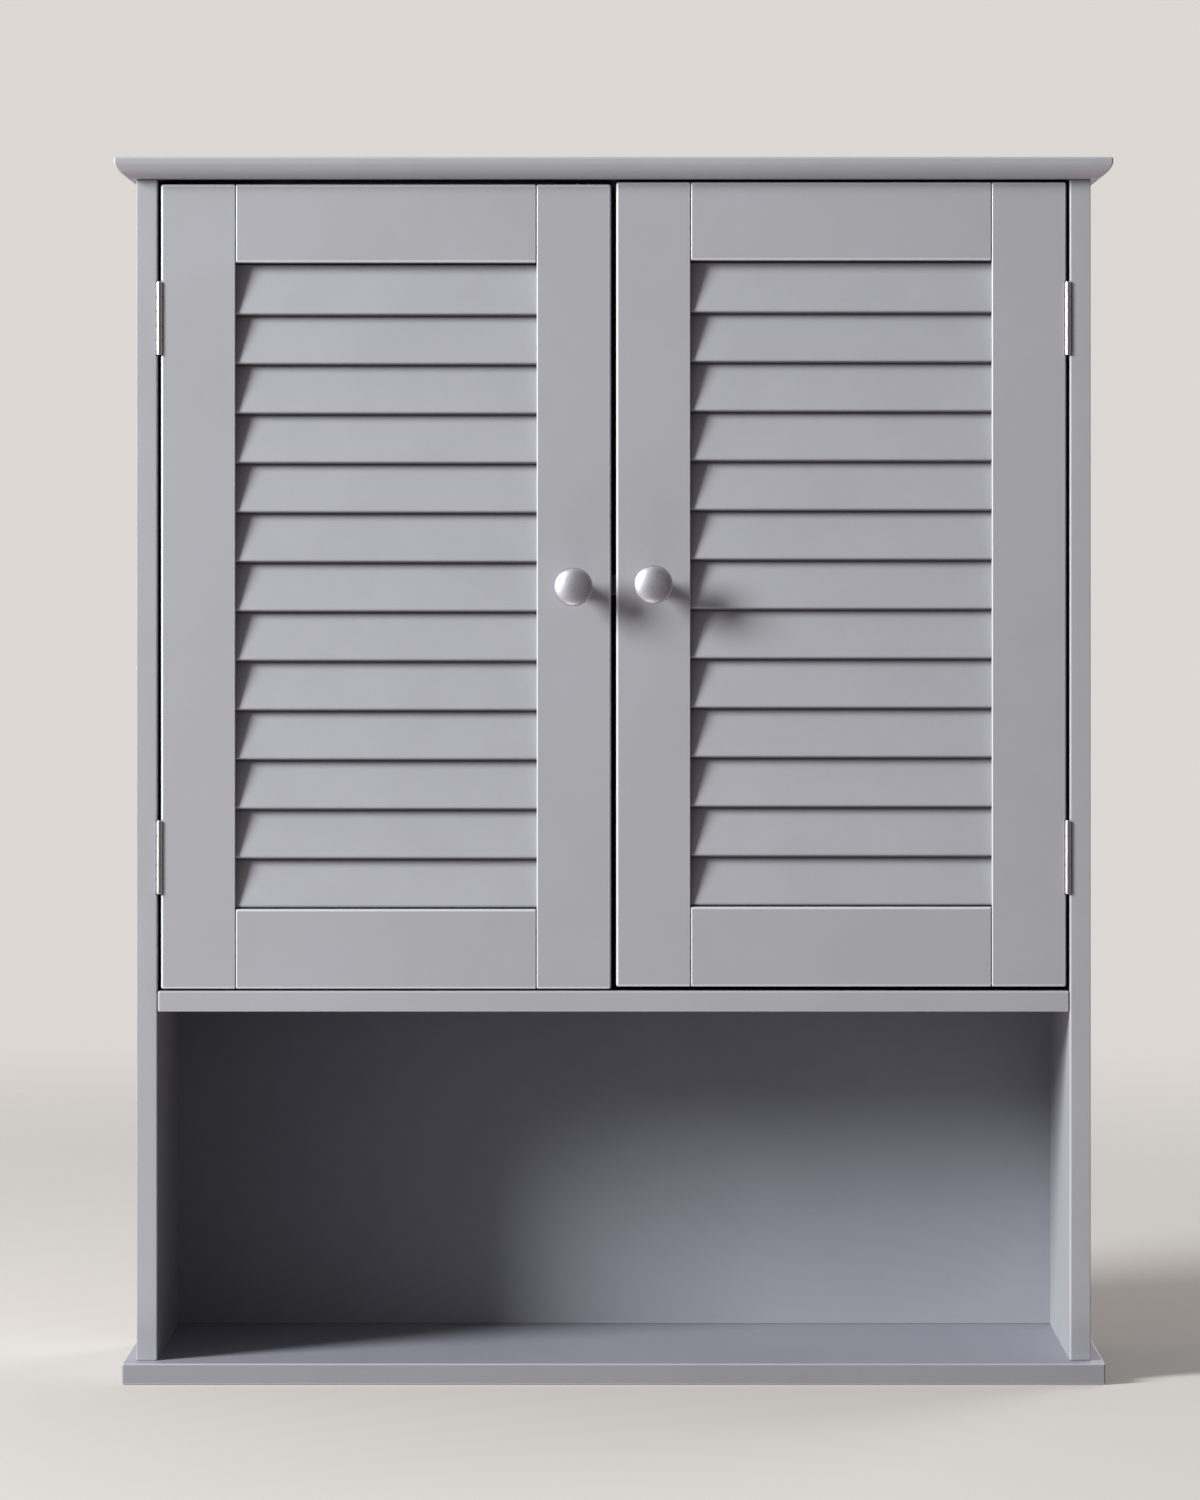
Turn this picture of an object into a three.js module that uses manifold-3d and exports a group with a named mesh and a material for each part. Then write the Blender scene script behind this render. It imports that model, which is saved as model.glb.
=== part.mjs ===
// Wall cabinet with two louvred doors above an open bay.
// Millimetres. +X is to the right, +Y goes into the wall and +Z is up.
// The origin is on the wall plane, on the centre line, level with the hanging screws.

import * as THREE from "three";
import { mergeVertices } from "three/addons/utils/BufferGeometryUtils.js";
import Module from "manifold-3d";

const wasm = await Module();
wasm.setup();

// Carcass boards
const topWidth = 570;
const cabinetHeight = 700;
const sideDepth = 176;
const frontOverhang = 14;
const topEndOverhang = 12;
const bottomEndOverhang = 7.5;
const topThickness = 12;
const bottomThickness = 12;
const sideThickness = 12;
const middleShelfThickness = 12;
const bayHeight = 199.5;
const boardArris = 0.8;
const jointGap = 0.1;

// Moulded front and end edges of the top board
const mouldingInset = 8.8;
const mouldingDrop = 8.5;
const mouldingControlInsetShare = 0.25;
const mouldingControlHeightShare = 0.28;

// Back panel in the sides' rabbets, and the rail that the cabinet hangs by
const backThickness = 5;
const backArris = 0.4;
const rabbetWidth = 6;
const rabbetClearance = 0.3;
const hangingRailHeight = 60;
const hangingRailThickness = 12;
const hangingHoleRadius = 3.1;
const hangingHoleSpacing = 400;

// Adjustable shelf on four pins
const shelfThickness = 12;
const shelfCollarClearance = 0.4;
const shelfBackClearance = 0.5;
const shelfDoorClearance = 8;
const shelfSeatGap = 0.2;
const pinHoleRadius = 2.5;
const pinHoleDepth = 8;
const pinRowSpacing = 32;
const pinFrontSetback = 37;
const pinRearSetback = 30;
const pinClearance = 0.2;
const pinCollarRadius = 3.5;
const pinCollarThickness = 1.2;
const pinHeadLength = 7;
const pinHeadArris = 0.5;

// Door frames
const doorThickness = 15;
const doorCentreGap = 3;
const doorEndGap = 2;
const leftDoorDrop = 0.9;
const rightDoorRise = 0.4;
const stileWidth = 42.5;
const topRailWidth = 44.8;
const bottomRailWidth = 45.7;
const tenonLength = 12;
const tenonThickness = 5;
const tenonShoulder = 8;
const tenonClearance = 0.3;

// Louvre slats, held in slanted mortises
const slatThickness = 4.5;
const slatAirGap = 1.9;
const slatOverlap = 2.8;
const slatEdgeRadius = 1.2;
const slatMortiseDepth = 5;
const slatClearance = 0.3;
const topSlatExtraReveal = 1.1;
const topSlatClearance = 0.5;
const bottomSlatClearance = 0.2;

// Butt hinges, with their axes in the plane of the fronts
const hingeHeight = 41.4;
const upperHingeDistance = 77.5;
const lowerHingeDistance = 74.5;
const barrelRadius = 1.75;
const barrelClearance = 0.3;
const hingePinRadius = 1;
const hingePinClearance = 0.2;
const pinTipHeight = 0.5;
const pinTipRadius = 1.4;
const knuckleGap = 0.2;
const leafThickness = 0.8;
const leafDepth = 12.5;
const leafSeatGap = 0.1;
const leafGap = 0.2;
const leafScrewRadius = 1.5;
const leafScrewHeadRadius = 2.4;
const leafScrewSpacing = 26;

// Knobs, each on a screw through its stile
const knobRadius = 11;
const knobHeight = 24.5;
const knobDomeHeight = 8.5;
const knobRimHeight = 1;
const knobBaseRadius = 6;
const knobBaseHeight = 1.5;
const knobNeckRadius = 4.6;
const knobNeckHeight = 5.5;
const knobSeatGap = 0.1;
const knobScrewRadius = 2;
const knobScrewClearance = 0.3;
const knobScrewHeadRadius = 4;
const knobScrewHeadHeight = 2;

// Magnetic catches and their strike plates
const catchOffset = 17.5;
const catchWidth = 16;
const catchDepth = 15;
const catchHeight = 11;
const catchArris = 0.6;
const catchFlangeWidth = 32;
const catchFlangeThickness = 2;
const catchScrewRadius = 1.6;
const poleSpacing = 6.3;
const poleThickness = 1.2;
const poleHeight = 9;
const poleProjection = 1;
const strikeWidth = 20;
const strikeHeight = 12;
const strikeThickness = 1.2;
const strikeArris = 0.3;
const strikeEdgeDistance = 2;
const strikeSeatGap = 0.1;
const catchClosedGap = 0.3;

// How far each cutter runs past the face that it cuts
const cutOverrun = 2;

// Counts and facets
const slatCount = 13;
const knuckleCount = 5;
const pinRowCount = 3;
const boreSegments = 16;
const hingeSegments = 12;
const knobSegments = 24;
const knobCurveSteps = 4;
const mouldingSteps = 8;
const slatCornerSteps = 1;

// Sizes worked out from the driving dimensions
const outerWidth = topWidth - 2 * topEndOverhang;
const innerWidth = outerWidth - 2 * sideThickness;
const boardDepth = sideDepth + frontOverhang;
const sideFront = -sideDepth;
const middleShelfBase = bottomThickness + bayHeight;
const compartmentFloor = middleShelfBase + middleShelfThickness;
const compartmentCeiling = cabinetHeight - topThickness;
const hangingHeight = compartmentCeiling - hangingRailHeight / 2;
const backFront = -backThickness;

const doorSideGap = 2 * (leafSeatGap + leafThickness) + leafGap;
const doorWidth = (innerWidth - doorCentreGap) / 2 - doorSideGap;
const doorHeight = compartmentCeiling - compartmentFloor - 2 * doorEndGap;
const doorBack = sideFront + doorThickness;
const louvreWidth = doorWidth - 2 * stileWidth;
const louvreHeight = doorHeight - topRailWidth - bottomRailWidth;
const hingeAxisX = innerWidth / 2 - doorSideGap / 2;
const hingeAxisY = sideFront;

// Slats lean just far enough to leave the air gap between one face and the next
const slatCover = louvreHeight / slatCount;
const slatTilt = Math.asin((slatThickness + slatAirGap) / slatCover);
const slatWidth = (slatCover + slatOverlap) / Math.cos(slatTilt);
const slatDepth = slatThickness * Math.cos(slatTilt) + slatWidth * Math.sin(slatTilt);
const slatSetback = (doorThickness - slatDepth) / 2;
const slatBackDrop =
  (slatThickness - slatEdgeRadius) * Math.sin(slatTilt) +
  slatEdgeRadius * (1 - Math.cos(slatTilt));
const bottomSlatFoot = bottomSlatClearance + slatBackDrop;
const slatPitch = (louvreHeight - bottomSlatFoot - topSlatExtraReveal) / slatCount;
const topSlatRise = slatPitch + topSlatExtraReveal - topSlatClearance;
const topSlatWidth = topSlatRise / Math.cos(slatTilt);

const shelfEndClearance = jointGap + pinCollarThickness + shelfCollarClearance;
const shelfBase = (compartmentFloor + compartmentCeiling - shelfThickness) / 2;
const shelfFront = doorBack + shelfDoorClearance;
const shelfDepth = backFront - shelfBackClearance - shelfFront;
const pinAxisHeight = shelfBase - shelfSeatGap - (pinHoleRadius - pinClearance);

// Paints and metals
const carcassPaint = paint(0xa9a9af, 0.5);
const doorPaint = paint(0xa7a7ad, 0.5);
const slatPaint = paint(0xaaaab0, 0.5);
const backPaint = paint(0x9c9ca6, 0.6);
const satinAluminium = metal(0xb9b8bc, 0.4);
const nickelPlate = metal(0xc4c4c6, 0.3);
const zincPlate = metal(0xa8abad, 0.45);
const catchPlastic = paint(0x4a423c, 0.55);

function paint(color, roughness) {
  return new THREE.MeshStandardMaterial({ color, roughness, metalness: 0 });
}

function metal(color, roughness) {
  return new THREE.MeshStandardMaterial({ color, roughness, metalness: 1 });
}

// A closed solid from a geometry, with its shared corners merged
function solidOf(geometry) {
  const bare = new THREE.BufferGeometry();
  bare.setAttribute("position", geometry.getAttribute("position"));
  bare.setIndex(geometry.getIndex());
  const merged = mergeVertices(bare);
  return new wasm.Manifold(
    new wasm.Mesh({
      numProp: 3,
      vertProperties: merged.getAttribute("position").array,
      triVerts: merged.getIndex().array,
    }),
  );
}

// A flat-shaded geometry from a closed solid
function geometryOf(solid) {
  const mesh = solid.getMesh();
  const indexed = new THREE.BufferGeometry();
  indexed.setAttribute("position", new THREE.BufferAttribute(mesh.vertProperties, 3));
  indexed.setIndex(new THREE.BufferAttribute(mesh.triVerts, 1));
  const geometry = indexed.toNonIndexed();
  geometry.computeVertexNormals();
  return geometry;
}

// One geometry less several cutters
function cut(geometry, cutters) {
  let solid = solidOf(geometry);
  for (const cutter of cutters) {
    solid = solid.subtract(solidOf(cutter));
  }
  return geometryOf(solid);
}

// Several overlapping geometries as one
function fuse(pieces) {
  let solid = solidOf(pieces[0]);
  for (const piece of pieces.slice(1)) {
    solid = solid.add(solidOf(piece));
  }
  return geometryOf(solid);
}

// A shape drawn in Y and Z, extruded along X and centred on it
function extrudeAlongX(shape, length, curveSegments) {
  const geometry = new THREE.ExtrudeGeometry(shape, {
    depth: length,
    bevelEnabled: false,
    curveSegments,
  });
  const xAxis = new THREE.Vector3(1, 0, 0);
  const yAxis = new THREE.Vector3(0, 1, 0);
  const zAxis = new THREE.Vector3(0, 0, 1);
  geometry.translate(0, 0, -length / 2);
  geometry.applyMatrix4(new THREE.Matrix4().makeBasis(yAxis, zAxis, xAxis));
  return geometry;
}

// A shape drawn in X and Z, extruded along Y from front to back
function extrudeAlongY(shape, front, back, curveSegments) {
  const geometry = new THREE.ExtrudeGeometry(shape, {
    depth: back - front,
    bevelEnabled: false,
    curveSegments,
  });
  geometry.rotateX(Math.PI / 2);
  geometry.translate(0, back, 0);
  return geometry;
}

// A square-edged block between two corners
function block(low, high) {
  const size = high.clone().sub(low);
  const geometry = new THREE.BoxGeometry(size.x, size.y, size.z);
  geometry.translate(low.x + size.x / 2, low.y + size.y / 2, low.z + size.z / 2);
  return geometry;
}

// A board with all its edges eased: centred in X, its front at Y zero and its foot at Z zero
function easedBoard(width, depth, height, arris) {
  const side = width / 2;
  const outline = new THREE.Shape();
  outline.moveTo(-side + arris, 0);
  outline.lineTo(side - arris, 0);
  outline.lineTo(side, arris);
  outline.lineTo(side, depth - arris);
  outline.lineTo(side - arris, depth);
  outline.lineTo(-side + arris, depth);
  outline.lineTo(-side, depth - arris);
  outline.lineTo(-side, arris);
  const geometry = new THREE.ExtrudeGeometry(outline, {
    depth: height - 2 * arris,
    bevelThickness: arris,
    bevelSize: arris,
    bevelOffset: -arris,
    bevelSegments: 1,
  });
  geometry.translate(0, 0, arris);
  return geometry;
}

// A round cutter along Y, centred on its axis, that runs past both faces of a board
function roundCutterAlongY(radius, depth) {
  const length = depth + 2 * cutOverrun;
  const geometry = new THREE.CylinderGeometry(radius, radius, length, boreSegments);
  geometry.translate(0, depth / 2, 0);
  return geometry;
}

// A countersink cutter that stands on a face at zero and widens up through a plate
function countersinkCutter(radius, headRadius, thickness) {
  const profile = [
    new THREE.Vector2(0, -cutOverrun),
    new THREE.Vector2(radius, -cutOverrun),
    new THREE.Vector2(radius, 0),
    new THREE.Vector2(headRadius, thickness),
    new THREE.Vector2(headRadius, thickness + cutOverrun),
    new THREE.Vector2(0, thickness + cutOverrun),
  ];
  return new THREE.LatheGeometry(profile, hingeSegments);
}

// The section of the top board over a span, moulded at its near end and at choice at its far end
function mouldedSection(near, far, farIsMoulded) {
  const controlInset = mouldingInset * mouldingControlInsetShare;
  const controlHeight = mouldingDrop * mouldingControlHeightShare;
  const section = new THREE.Shape();
  section.moveTo(near + boardArris, topThickness);
  section.lineTo(near, topThickness - boardArris);
  section.lineTo(near, mouldingDrop);
  section.quadraticCurveTo(near + controlInset, controlHeight, near + mouldingInset, 0);
  if (farIsMoulded) {
    section.lineTo(far - mouldingInset, 0);
    section.quadraticCurveTo(far - controlInset, controlHeight, far, mouldingDrop);
    section.lineTo(far, topThickness - boardArris);
    section.lineTo(far - boardArris, topThickness);
  } else {
    section.lineTo(far, 0);
    section.lineTo(far, topThickness);
  }
  return section;
}

// The moulding runs round the front and both ends, and the two extrusions meet at its mitres
function topBoard() {
  const end = topWidth / 2;
  const front = -boardDepth;
  const lengthwise = extrudeAlongX(
    mouldedSection(front, 0, false),
    topWidth + 2 * cutOverrun,
    mouldingSteps,
  );
  const crosswise = extrudeAlongY(
    mouldedSection(-end, end, true),
    front - cutOverrun,
    cutOverrun,
    mouldingSteps,
  );
  return geometryOf(solidOf(lengthwise).intersect(solidOf(crosswise)));
}

function bottomBoard() {
  const width = outerWidth + 2 * bottomEndOverhang;
  return easedBoard(width, boardDepth, bottomThickness, boardArris);
}

// A side with a rabbet for the back panel, rows of blind holes for the shelf pins, and a recess
// for each hinge's barrel
function sidePanel(inward) {
  const height = compartmentCeiling - bottomThickness - 2 * jointGap;
  const half = sideThickness / 2;
  const rabbetFloor = half - rabbetWidth;
  const rabbetFront = sideDepth - backThickness - jointGap;
  const outline = new THREE.Shape([
    new THREE.Vector2(inward * (boardArris - half), 0),
    new THREE.Vector2(inward * (half - boardArris), 0),
    new THREE.Vector2(inward * half, boardArris),
    new THREE.Vector2(inward * half, rabbetFront),
    new THREE.Vector2(inward * rabbetFloor, rabbetFront),
    new THREE.Vector2(inward * rabbetFloor, sideDepth),
    new THREE.Vector2(inward * -half, sideDepth),
    new THREE.Vector2(inward * -half, boardArris),
  ]);
  const panel = new THREE.ExtrudeGeometry(outline, { depth: height, bevelEnabled: false });
  const cutters = [];
  for (const column of pinColumns()) {
    for (let row = 0; row < pinRowCount; row += 1) {
      const rise = (row - (pinRowCount - 1) / 2) * pinRowSpacing;
      const length = pinHoleDepth + cutOverrun;
      const hole = new THREE.CylinderGeometry(pinHoleRadius, pinHoleRadius, length, boreSegments);
      hole.rotateZ(Math.PI / 2);
      hole.translate(
        inward * (half - pinHoleDepth + length / 2),
        column - sideFront,
        pinAxisHeight + rise - bottomThickness - jointGap,
      );
      cutters.push(hole);
    }
  }
  const panelFoot = bottomThickness + jointGap;
  cutters.push(...barrelRecessCutters(inward * (half + doorSideGap / 2), panelFoot));
  return cut(panel, cutters);
}

// Where the front and rear shelf pins lie in Y
function pinColumns() {
  return [shelfFront + pinFrontSetback, backFront - pinRearSetback];
}

function middleShelf() {
  const depth = sideDepth - backThickness - jointGap;
  return easedBoard(innerWidth - 2 * jointGap, depth, middleShelfThickness, boardArris);
}

// Where the two hanging screws pass through the back panel and the hanging rail
function hangingHoleCutters(depth, height) {
  return [-1, 1].map((side) => {
    const cutter = roundCutterAlongY(hangingHoleRadius, depth);
    cutter.translate((side * hangingHoleSpacing) / 2, 0, height);
    return cutter;
  });
}

function backPanel() {
  const width = innerWidth + 2 * (rabbetWidth - rabbetClearance);
  const base = bottomThickness + jointGap;
  const height = compartmentCeiling - jointGap - base;
  const panel = easedBoard(width, backThickness, height, backArris);
  return cut(panel, hangingHoleCutters(backThickness, hangingHeight - base));
}

function hangingRail() {
  const width = innerWidth - 2 * jointGap;
  const height = hangingRailHeight - 2 * jointGap;
  const rail = easedBoard(width, hangingRailThickness, height, boardArris);
  return cut(rail, hangingHoleCutters(hangingRailThickness, height / 2));
}

function adjustableShelf() {
  const width = innerWidth - 2 * shelfEndClearance;
  return easedBoard(width, shelfDepth, shelfThickness, boardArris);
}

// A turned pin along X: its shank in the side's hole, its collar on the side, its head inwards
function shelfPin(inward) {
  const shankRadius = pinHoleRadius - pinClearance;
  const collarStart = jointGap;
  const collarEnd = collarStart + pinCollarThickness;
  const headEnd = collarEnd + pinHeadLength;
  const profile = [
    new THREE.Vector2(0, pinClearance - pinHoleDepth),
    new THREE.Vector2(shankRadius, pinClearance - pinHoleDepth),
    new THREE.Vector2(shankRadius, collarStart),
    new THREE.Vector2(pinCollarRadius, collarStart),
    new THREE.Vector2(pinCollarRadius, collarEnd),
    new THREE.Vector2(shankRadius, collarEnd),
    new THREE.Vector2(shankRadius, headEnd - pinHeadArris),
    new THREE.Vector2(shankRadius - pinHeadArris, headEnd),
    new THREE.Vector2(0, headEnd),
  ];
  const pin = new THREE.LatheGeometry(profile, boreSegments);
  pin.rotateZ((-inward * Math.PI) / 2);
  return pin;
}

// The slat's rounded section, its lower front edge at the origin and its top leaning back
function slatSection(width, grow, radius) {
  const front = -grow;
  const back = slatThickness + grow;
  const foot = -grow;
  const head = width + grow;
  const section = new THREE.Shape();
  section.moveTo(front + radius, foot);
  section.lineTo(back - radius, foot);
  section.absarc(back - radius, foot + radius, radius, -Math.PI / 2, 0, false);
  section.lineTo(back, head - radius);
  section.absarc(back - radius, head - radius, radius, 0, Math.PI / 2, false);
  section.lineTo(front + radius, head);
  section.absarc(front + radius, head - radius, radius, Math.PI / 2, Math.PI, false);
  section.lineTo(front, foot + radius);
  section.absarc(front + radius, foot + radius, radius, Math.PI, 1.5 * Math.PI, false);
  return section;
}

// The top slat is narrower, to clear the top rail
function widthOfSlat(index) {
  return index === slatCount - 1 ? topSlatWidth : slatWidth;
}

function slat(index) {
  const length = louvreWidth + 2 * (slatMortiseDepth - slatClearance);
  const section = slatSection(widthOfSlat(index), 0, slatEdgeRadius);
  const geometry = extrudeAlongX(section, length, slatCornerSteps);
  geometry.rotateX(-slatTilt);
  return geometry;
}

// Height of a slat's lower front edge above the door's foot
function slatHeight(index) {
  return bottomRailWidth + bottomSlatFoot + index * slatPitch;
}

// The slanted mortise of one slat, reaching both ways from the stile's edge
function slatMortiseCutter(index) {
  const section = slatSection(widthOfSlat(index), slatClearance, slatEdgeRadius);
  const cutter = extrudeAlongX(section, 2 * slatMortiseDepth, slatCornerSteps);
  cutter.rotateX(-slatTilt);
  cutter.translate(0, slatSetback, slatHeight(index));
  return cutter;
}

// The tenon of one rail, or with a clearance the mortise that it fits
function tenonBlock(railFoot, railWidth, reach, clearance) {
  const front = (doorThickness - tenonThickness) / 2;
  return block(
    new THREE.Vector3(-reach, front - clearance, railFoot + tenonShoulder - clearance),
    new THREE.Vector3(
      reach,
      front + tenonThickness + clearance,
      railFoot + railWidth - tenonShoulder + clearance,
    ),
  );
}

// A stile with its mortises in the edge that faces the louvres, and whatever else is cut from it
function stile(inward, otherCutters) {
  const board = easedBoard(stileWidth, doorThickness, doorHeight, boardArris);
  const reach = tenonLength + tenonClearance;
  const topRailFoot = doorHeight - topRailWidth;
  const edgeCutters = [
    tenonBlock(0, bottomRailWidth, reach, tenonClearance),
    tenonBlock(topRailFoot, topRailWidth, reach, tenonClearance),
  ];
  for (let index = 0; index < slatCount; index += 1) {
    edgeCutters.push(slatMortiseCutter(index));
  }
  for (const cutter of edgeCutters) {
    cutter.translate((inward * stileWidth) / 2, 0, 0);
  }
  return cut(board, [...edgeCutters, ...otherCutters]);
}

// The hole for the knob's screw, through the middle of a stile
function knobHoleCutter() {
  const cutter = roundCutterAlongY(knobScrewRadius + knobScrewClearance, doorThickness);
  cutter.translate(0, 0, doorHeight / 2);
  return cutter;
}

// The recesses that the hinges' barrels turn in, for a board whose front is at Y zero: the axis
// lies in that front, and the board's foot is at a height above the cabinet's
function barrelRecessCutters(axisX, boardFoot) {
  const radius = barrelRadius + barrelClearance;
  const length = hingeHeight + 2 * (pinTipHeight + barrelClearance);
  return hingeFeet().map(([, hingeFoot]) => {
    const cutter = new THREE.CylinderGeometry(radius, radius, length, boreSegments);
    cutter.rotateX(Math.PI / 2);
    cutter.translate(axisX, 0, hingeFoot + hingeHeight / 2 - boardFoot);
    return cutter;
  });
}

// A rail with a stub tenon at each end
function rail(width) {
  const length = louvreWidth - 2 * jointGap;
  const board = easedBoard(length, doorThickness, width, boardArris);
  return fuse([board, tenonBlock(0, width, louvreWidth / 2 + tenonLength, 0)]);
}

// One leaf of a butt hinge: the barrel's axis is at the origin and the plate reaches back.
// The frame leaf carries the pin and the odd knuckles, and the door leaf turns on the pin.
function hingeLeaf(side, carriesPin) {
  const knucklePitch = hingeHeight / knuckleCount;
  const knuckleLength = knucklePitch - knuckleGap;
  const plateInner = leafGap / 2;
  const plateOuter = plateInner + leafThickness;
  const plateNear = Math.min(side * plateInner, side * plateOuter);
  const plateFar = Math.max(side * plateInner, side * plateOuter);
  const plateStart = barrelRadius + barrelClearance;
  const plateEnd = plateStart + leafDepth;
  const pieces = [
    block(
      new THREE.Vector3(plateNear, plateStart, 0),
      new THREE.Vector3(plateFar, plateEnd, hingeHeight),
    ),
  ];
  for (let index = carriesPin ? 0 : 1; index < knuckleCount; index += 2) {
    const foot = index * knucklePitch + knuckleGap / 2;
    const knuckle = new THREE.CylinderGeometry(
      barrelRadius,
      barrelRadius,
      knuckleLength,
      hingeSegments,
    );
    knuckle.rotateX(Math.PI / 2);
    knuckle.translate(0, 0, foot + knuckleLength / 2);
    pieces.push(knuckle);
    pieces.push(
      block(
        new THREE.Vector3(plateNear, 0, foot),
        new THREE.Vector3(plateFar, plateStart + leafThickness, foot + knuckleLength),
      ),
    );
  }
  if (carriesPin) {
    pieces.push(hingePin());
    return cut(fuse(pieces), leafScrewCutters(side));
  }
  const boreRadius = hingePinRadius + hingePinClearance;
  const boreLength = hingeHeight + 2 * cutOverrun;
  const bore = new THREE.CylinderGeometry(boreRadius, boreRadius, boreLength, hingeSegments);
  bore.rotateX(Math.PI / 2);
  bore.translate(0, 0, hingeHeight / 2);
  return cut(fuse(pieces), [bore, ...leafScrewCutters(side)]);
}

// The pin runs through every knuckle and is peened over the outer two
function hingePin() {
  const profile = [
    new THREE.Vector2(0, -pinTipHeight),
    new THREE.Vector2(hingePinRadius, -pinTipHeight),
    new THREE.Vector2(pinTipRadius, 0),
    new THREE.Vector2(pinTipRadius, knuckleGap),
    new THREE.Vector2(hingePinRadius, knuckleGap),
    new THREE.Vector2(hingePinRadius, hingeHeight - knuckleGap),
    new THREE.Vector2(pinTipRadius, hingeHeight - knuckleGap),
    new THREE.Vector2(pinTipRadius, hingeHeight),
    new THREE.Vector2(hingePinRadius, hingeHeight + pinTipHeight),
    new THREE.Vector2(0, hingeHeight + pinTipHeight),
  ];
  const pin = new THREE.LatheGeometry(profile, hingeSegments);
  pin.rotateX(Math.PI / 2);
  return pin;
}

// Countersunk holes in a leaf, wider on the side that faces the other leaf
function leafScrewCutters(side) {
  const plateOuter = leafGap / 2 + leafThickness;
  const middle = barrelRadius + barrelClearance + leafDepth / 2;
  return [-1, 1].map((end) => {
    const cutter = countersinkCutter(leafScrewRadius, leafScrewHeadRadius, leafThickness);
    cutter.rotateZ((side * Math.PI) / 2);
    cutter.translate(side * plateOuter, middle, (hingeHeight + end * leafScrewSpacing) / 2);
    return cutter;
  });
}

// A turned mushroom knob with its screw, which runs back through the stile to a pan head
function knob() {
  const screwEnd = -doorThickness - 2 * knobSeatGap;
  const headEnd = screwEnd - knobScrewHeadHeight;
  const domeFoot = knobHeight - knobDomeHeight;
  const rimFoot = domeFoot - knobRimHeight;
  const profile = new THREE.Path();
  profile.moveTo(0, headEnd);
  profile.lineTo(knobScrewHeadRadius - knobScrewHeadHeight / 2, headEnd);
  profile.lineTo(knobScrewHeadRadius, headEnd + knobScrewHeadHeight / 2);
  profile.lineTo(knobScrewHeadRadius, screwEnd);
  profile.lineTo(knobScrewRadius, screwEnd);
  profile.lineTo(knobScrewRadius, 0);
  profile.lineTo(knobBaseRadius, 0);
  profile.lineTo(knobBaseRadius, knobBaseHeight);
  profile.quadraticCurveTo(knobNeckRadius, knobBaseHeight, knobNeckRadius, knobNeckHeight);
  profile.quadraticCurveTo(knobNeckRadius, rimFoot, knobRadius, rimFoot);
  profile.lineTo(knobRadius, domeFoot);
  profile.absellipse(0, domeFoot, knobRadius, knobDomeHeight, 0, Math.PI / 2, false, 0);
  const turned = new THREE.LatheGeometry(profilePoints(profile), knobSegments);
  turned.rotateZ(Math.PI);
  return turned;
}

// A turned profile's points, each once, with the last one on the axis
function profilePoints(profile) {
  const points = profile.getPoints(knobCurveSteps).filter((point, index, all) => {
    return index === 0 || point.distanceTo(all[index - 1]) > 0;
  });
  points[points.length - 1].x = 0;
  return points;
}

// A magnetic catch: a flange under the top board, its housing, and two pole plates in front
function magneticCatch() {
  const poleFoot = catchArris - catchHeight;
  const flange = easedBoard(catchFlangeWidth, catchDepth, catchFlangeThickness, catchArris);
  flange.translate(0, 0, -catchFlangeThickness);
  const housing = easedBoard(catchWidth, catchDepth, catchHeight, catchArris);
  housing.translate(0, 0, -catchHeight);
  const pieces = [flange, housing];
  for (const side of [-1, 1]) {
    const middle = (side * poleSpacing) / 2;
    pieces.push(
      block(
        new THREE.Vector3(middle - poleThickness / 2, -poleProjection, poleFoot),
        new THREE.Vector3(middle + poleThickness / 2, catchDepth / 2, poleFoot + poleHeight),
      ),
    );
  }
  const cutters = [-1, 1].map((side) => {
    const length = catchFlangeThickness + 2 * cutOverrun;
    const hole = new THREE.CylinderGeometry(
      catchScrewRadius,
      catchScrewRadius,
      length,
      boreSegments,
    );
    hole.rotateX(Math.PI / 2);
    const middle = (catchFlangeWidth + catchWidth) / 4;
    hole.translate(side * middle, catchDepth / 2, -catchFlangeThickness / 2);
    return hole;
  });
  return cut(fuse(pieces), cutters);
}

// A steel plate that lies on the door's back, with one countersunk hole
function strikePlate() {
  const plate = easedBoard(strikeWidth, strikeThickness, strikeHeight, strikeArris);
  const cutter = countersinkCutter(leafScrewRadius, leafScrewHeadRadius, strikeThickness);
  cutter.translate(0, 0, strikeHeight / 2);
  return cut(plate, [cutter]);
}

// Adds one named piece to a group, placed by its own origin
function place(group, name, geometry, material, x, y, z) {
  const mesh = new THREE.Mesh(geometry, material.clone());
  mesh.name = name;
  mesh.position.set(x, y, z);
  group.add(mesh);
}

function placeBoards(group) {
  const sideX = (innerWidth + sideThickness) / 2;
  const sideFoot = bottomThickness + jointGap;
  const railFront = backFront - jointGap - hangingRailThickness;
  const railFoot = compartmentCeiling - hangingRailHeight + jointGap;
  place(group, "top_board", topBoard(), carcassPaint, 0, 0, compartmentCeiling);
  place(group, "bottom_board", bottomBoard(), carcassPaint, 0, -boardDepth, 0);
  place(group, "left_side_panel", sidePanel(1), carcassPaint, -sideX, sideFront, sideFoot);
  place(group, "right_side_panel", sidePanel(-1), carcassPaint, sideX, sideFront, sideFoot);
  place(group, "middle_shelf", middleShelf(), carcassPaint, 0, sideFront, middleShelfBase);
  place(group, "back_panel", backPanel(), backPaint, 0, backFront, sideFoot);
  place(group, "hanging_rail", hangingRail(), carcassPaint, 0, railFront, railFoot);
  place(group, "adjustable_shelf", adjustableShelf(), carcassPaint, 0, shelfFront, shelfBase);
}

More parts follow.
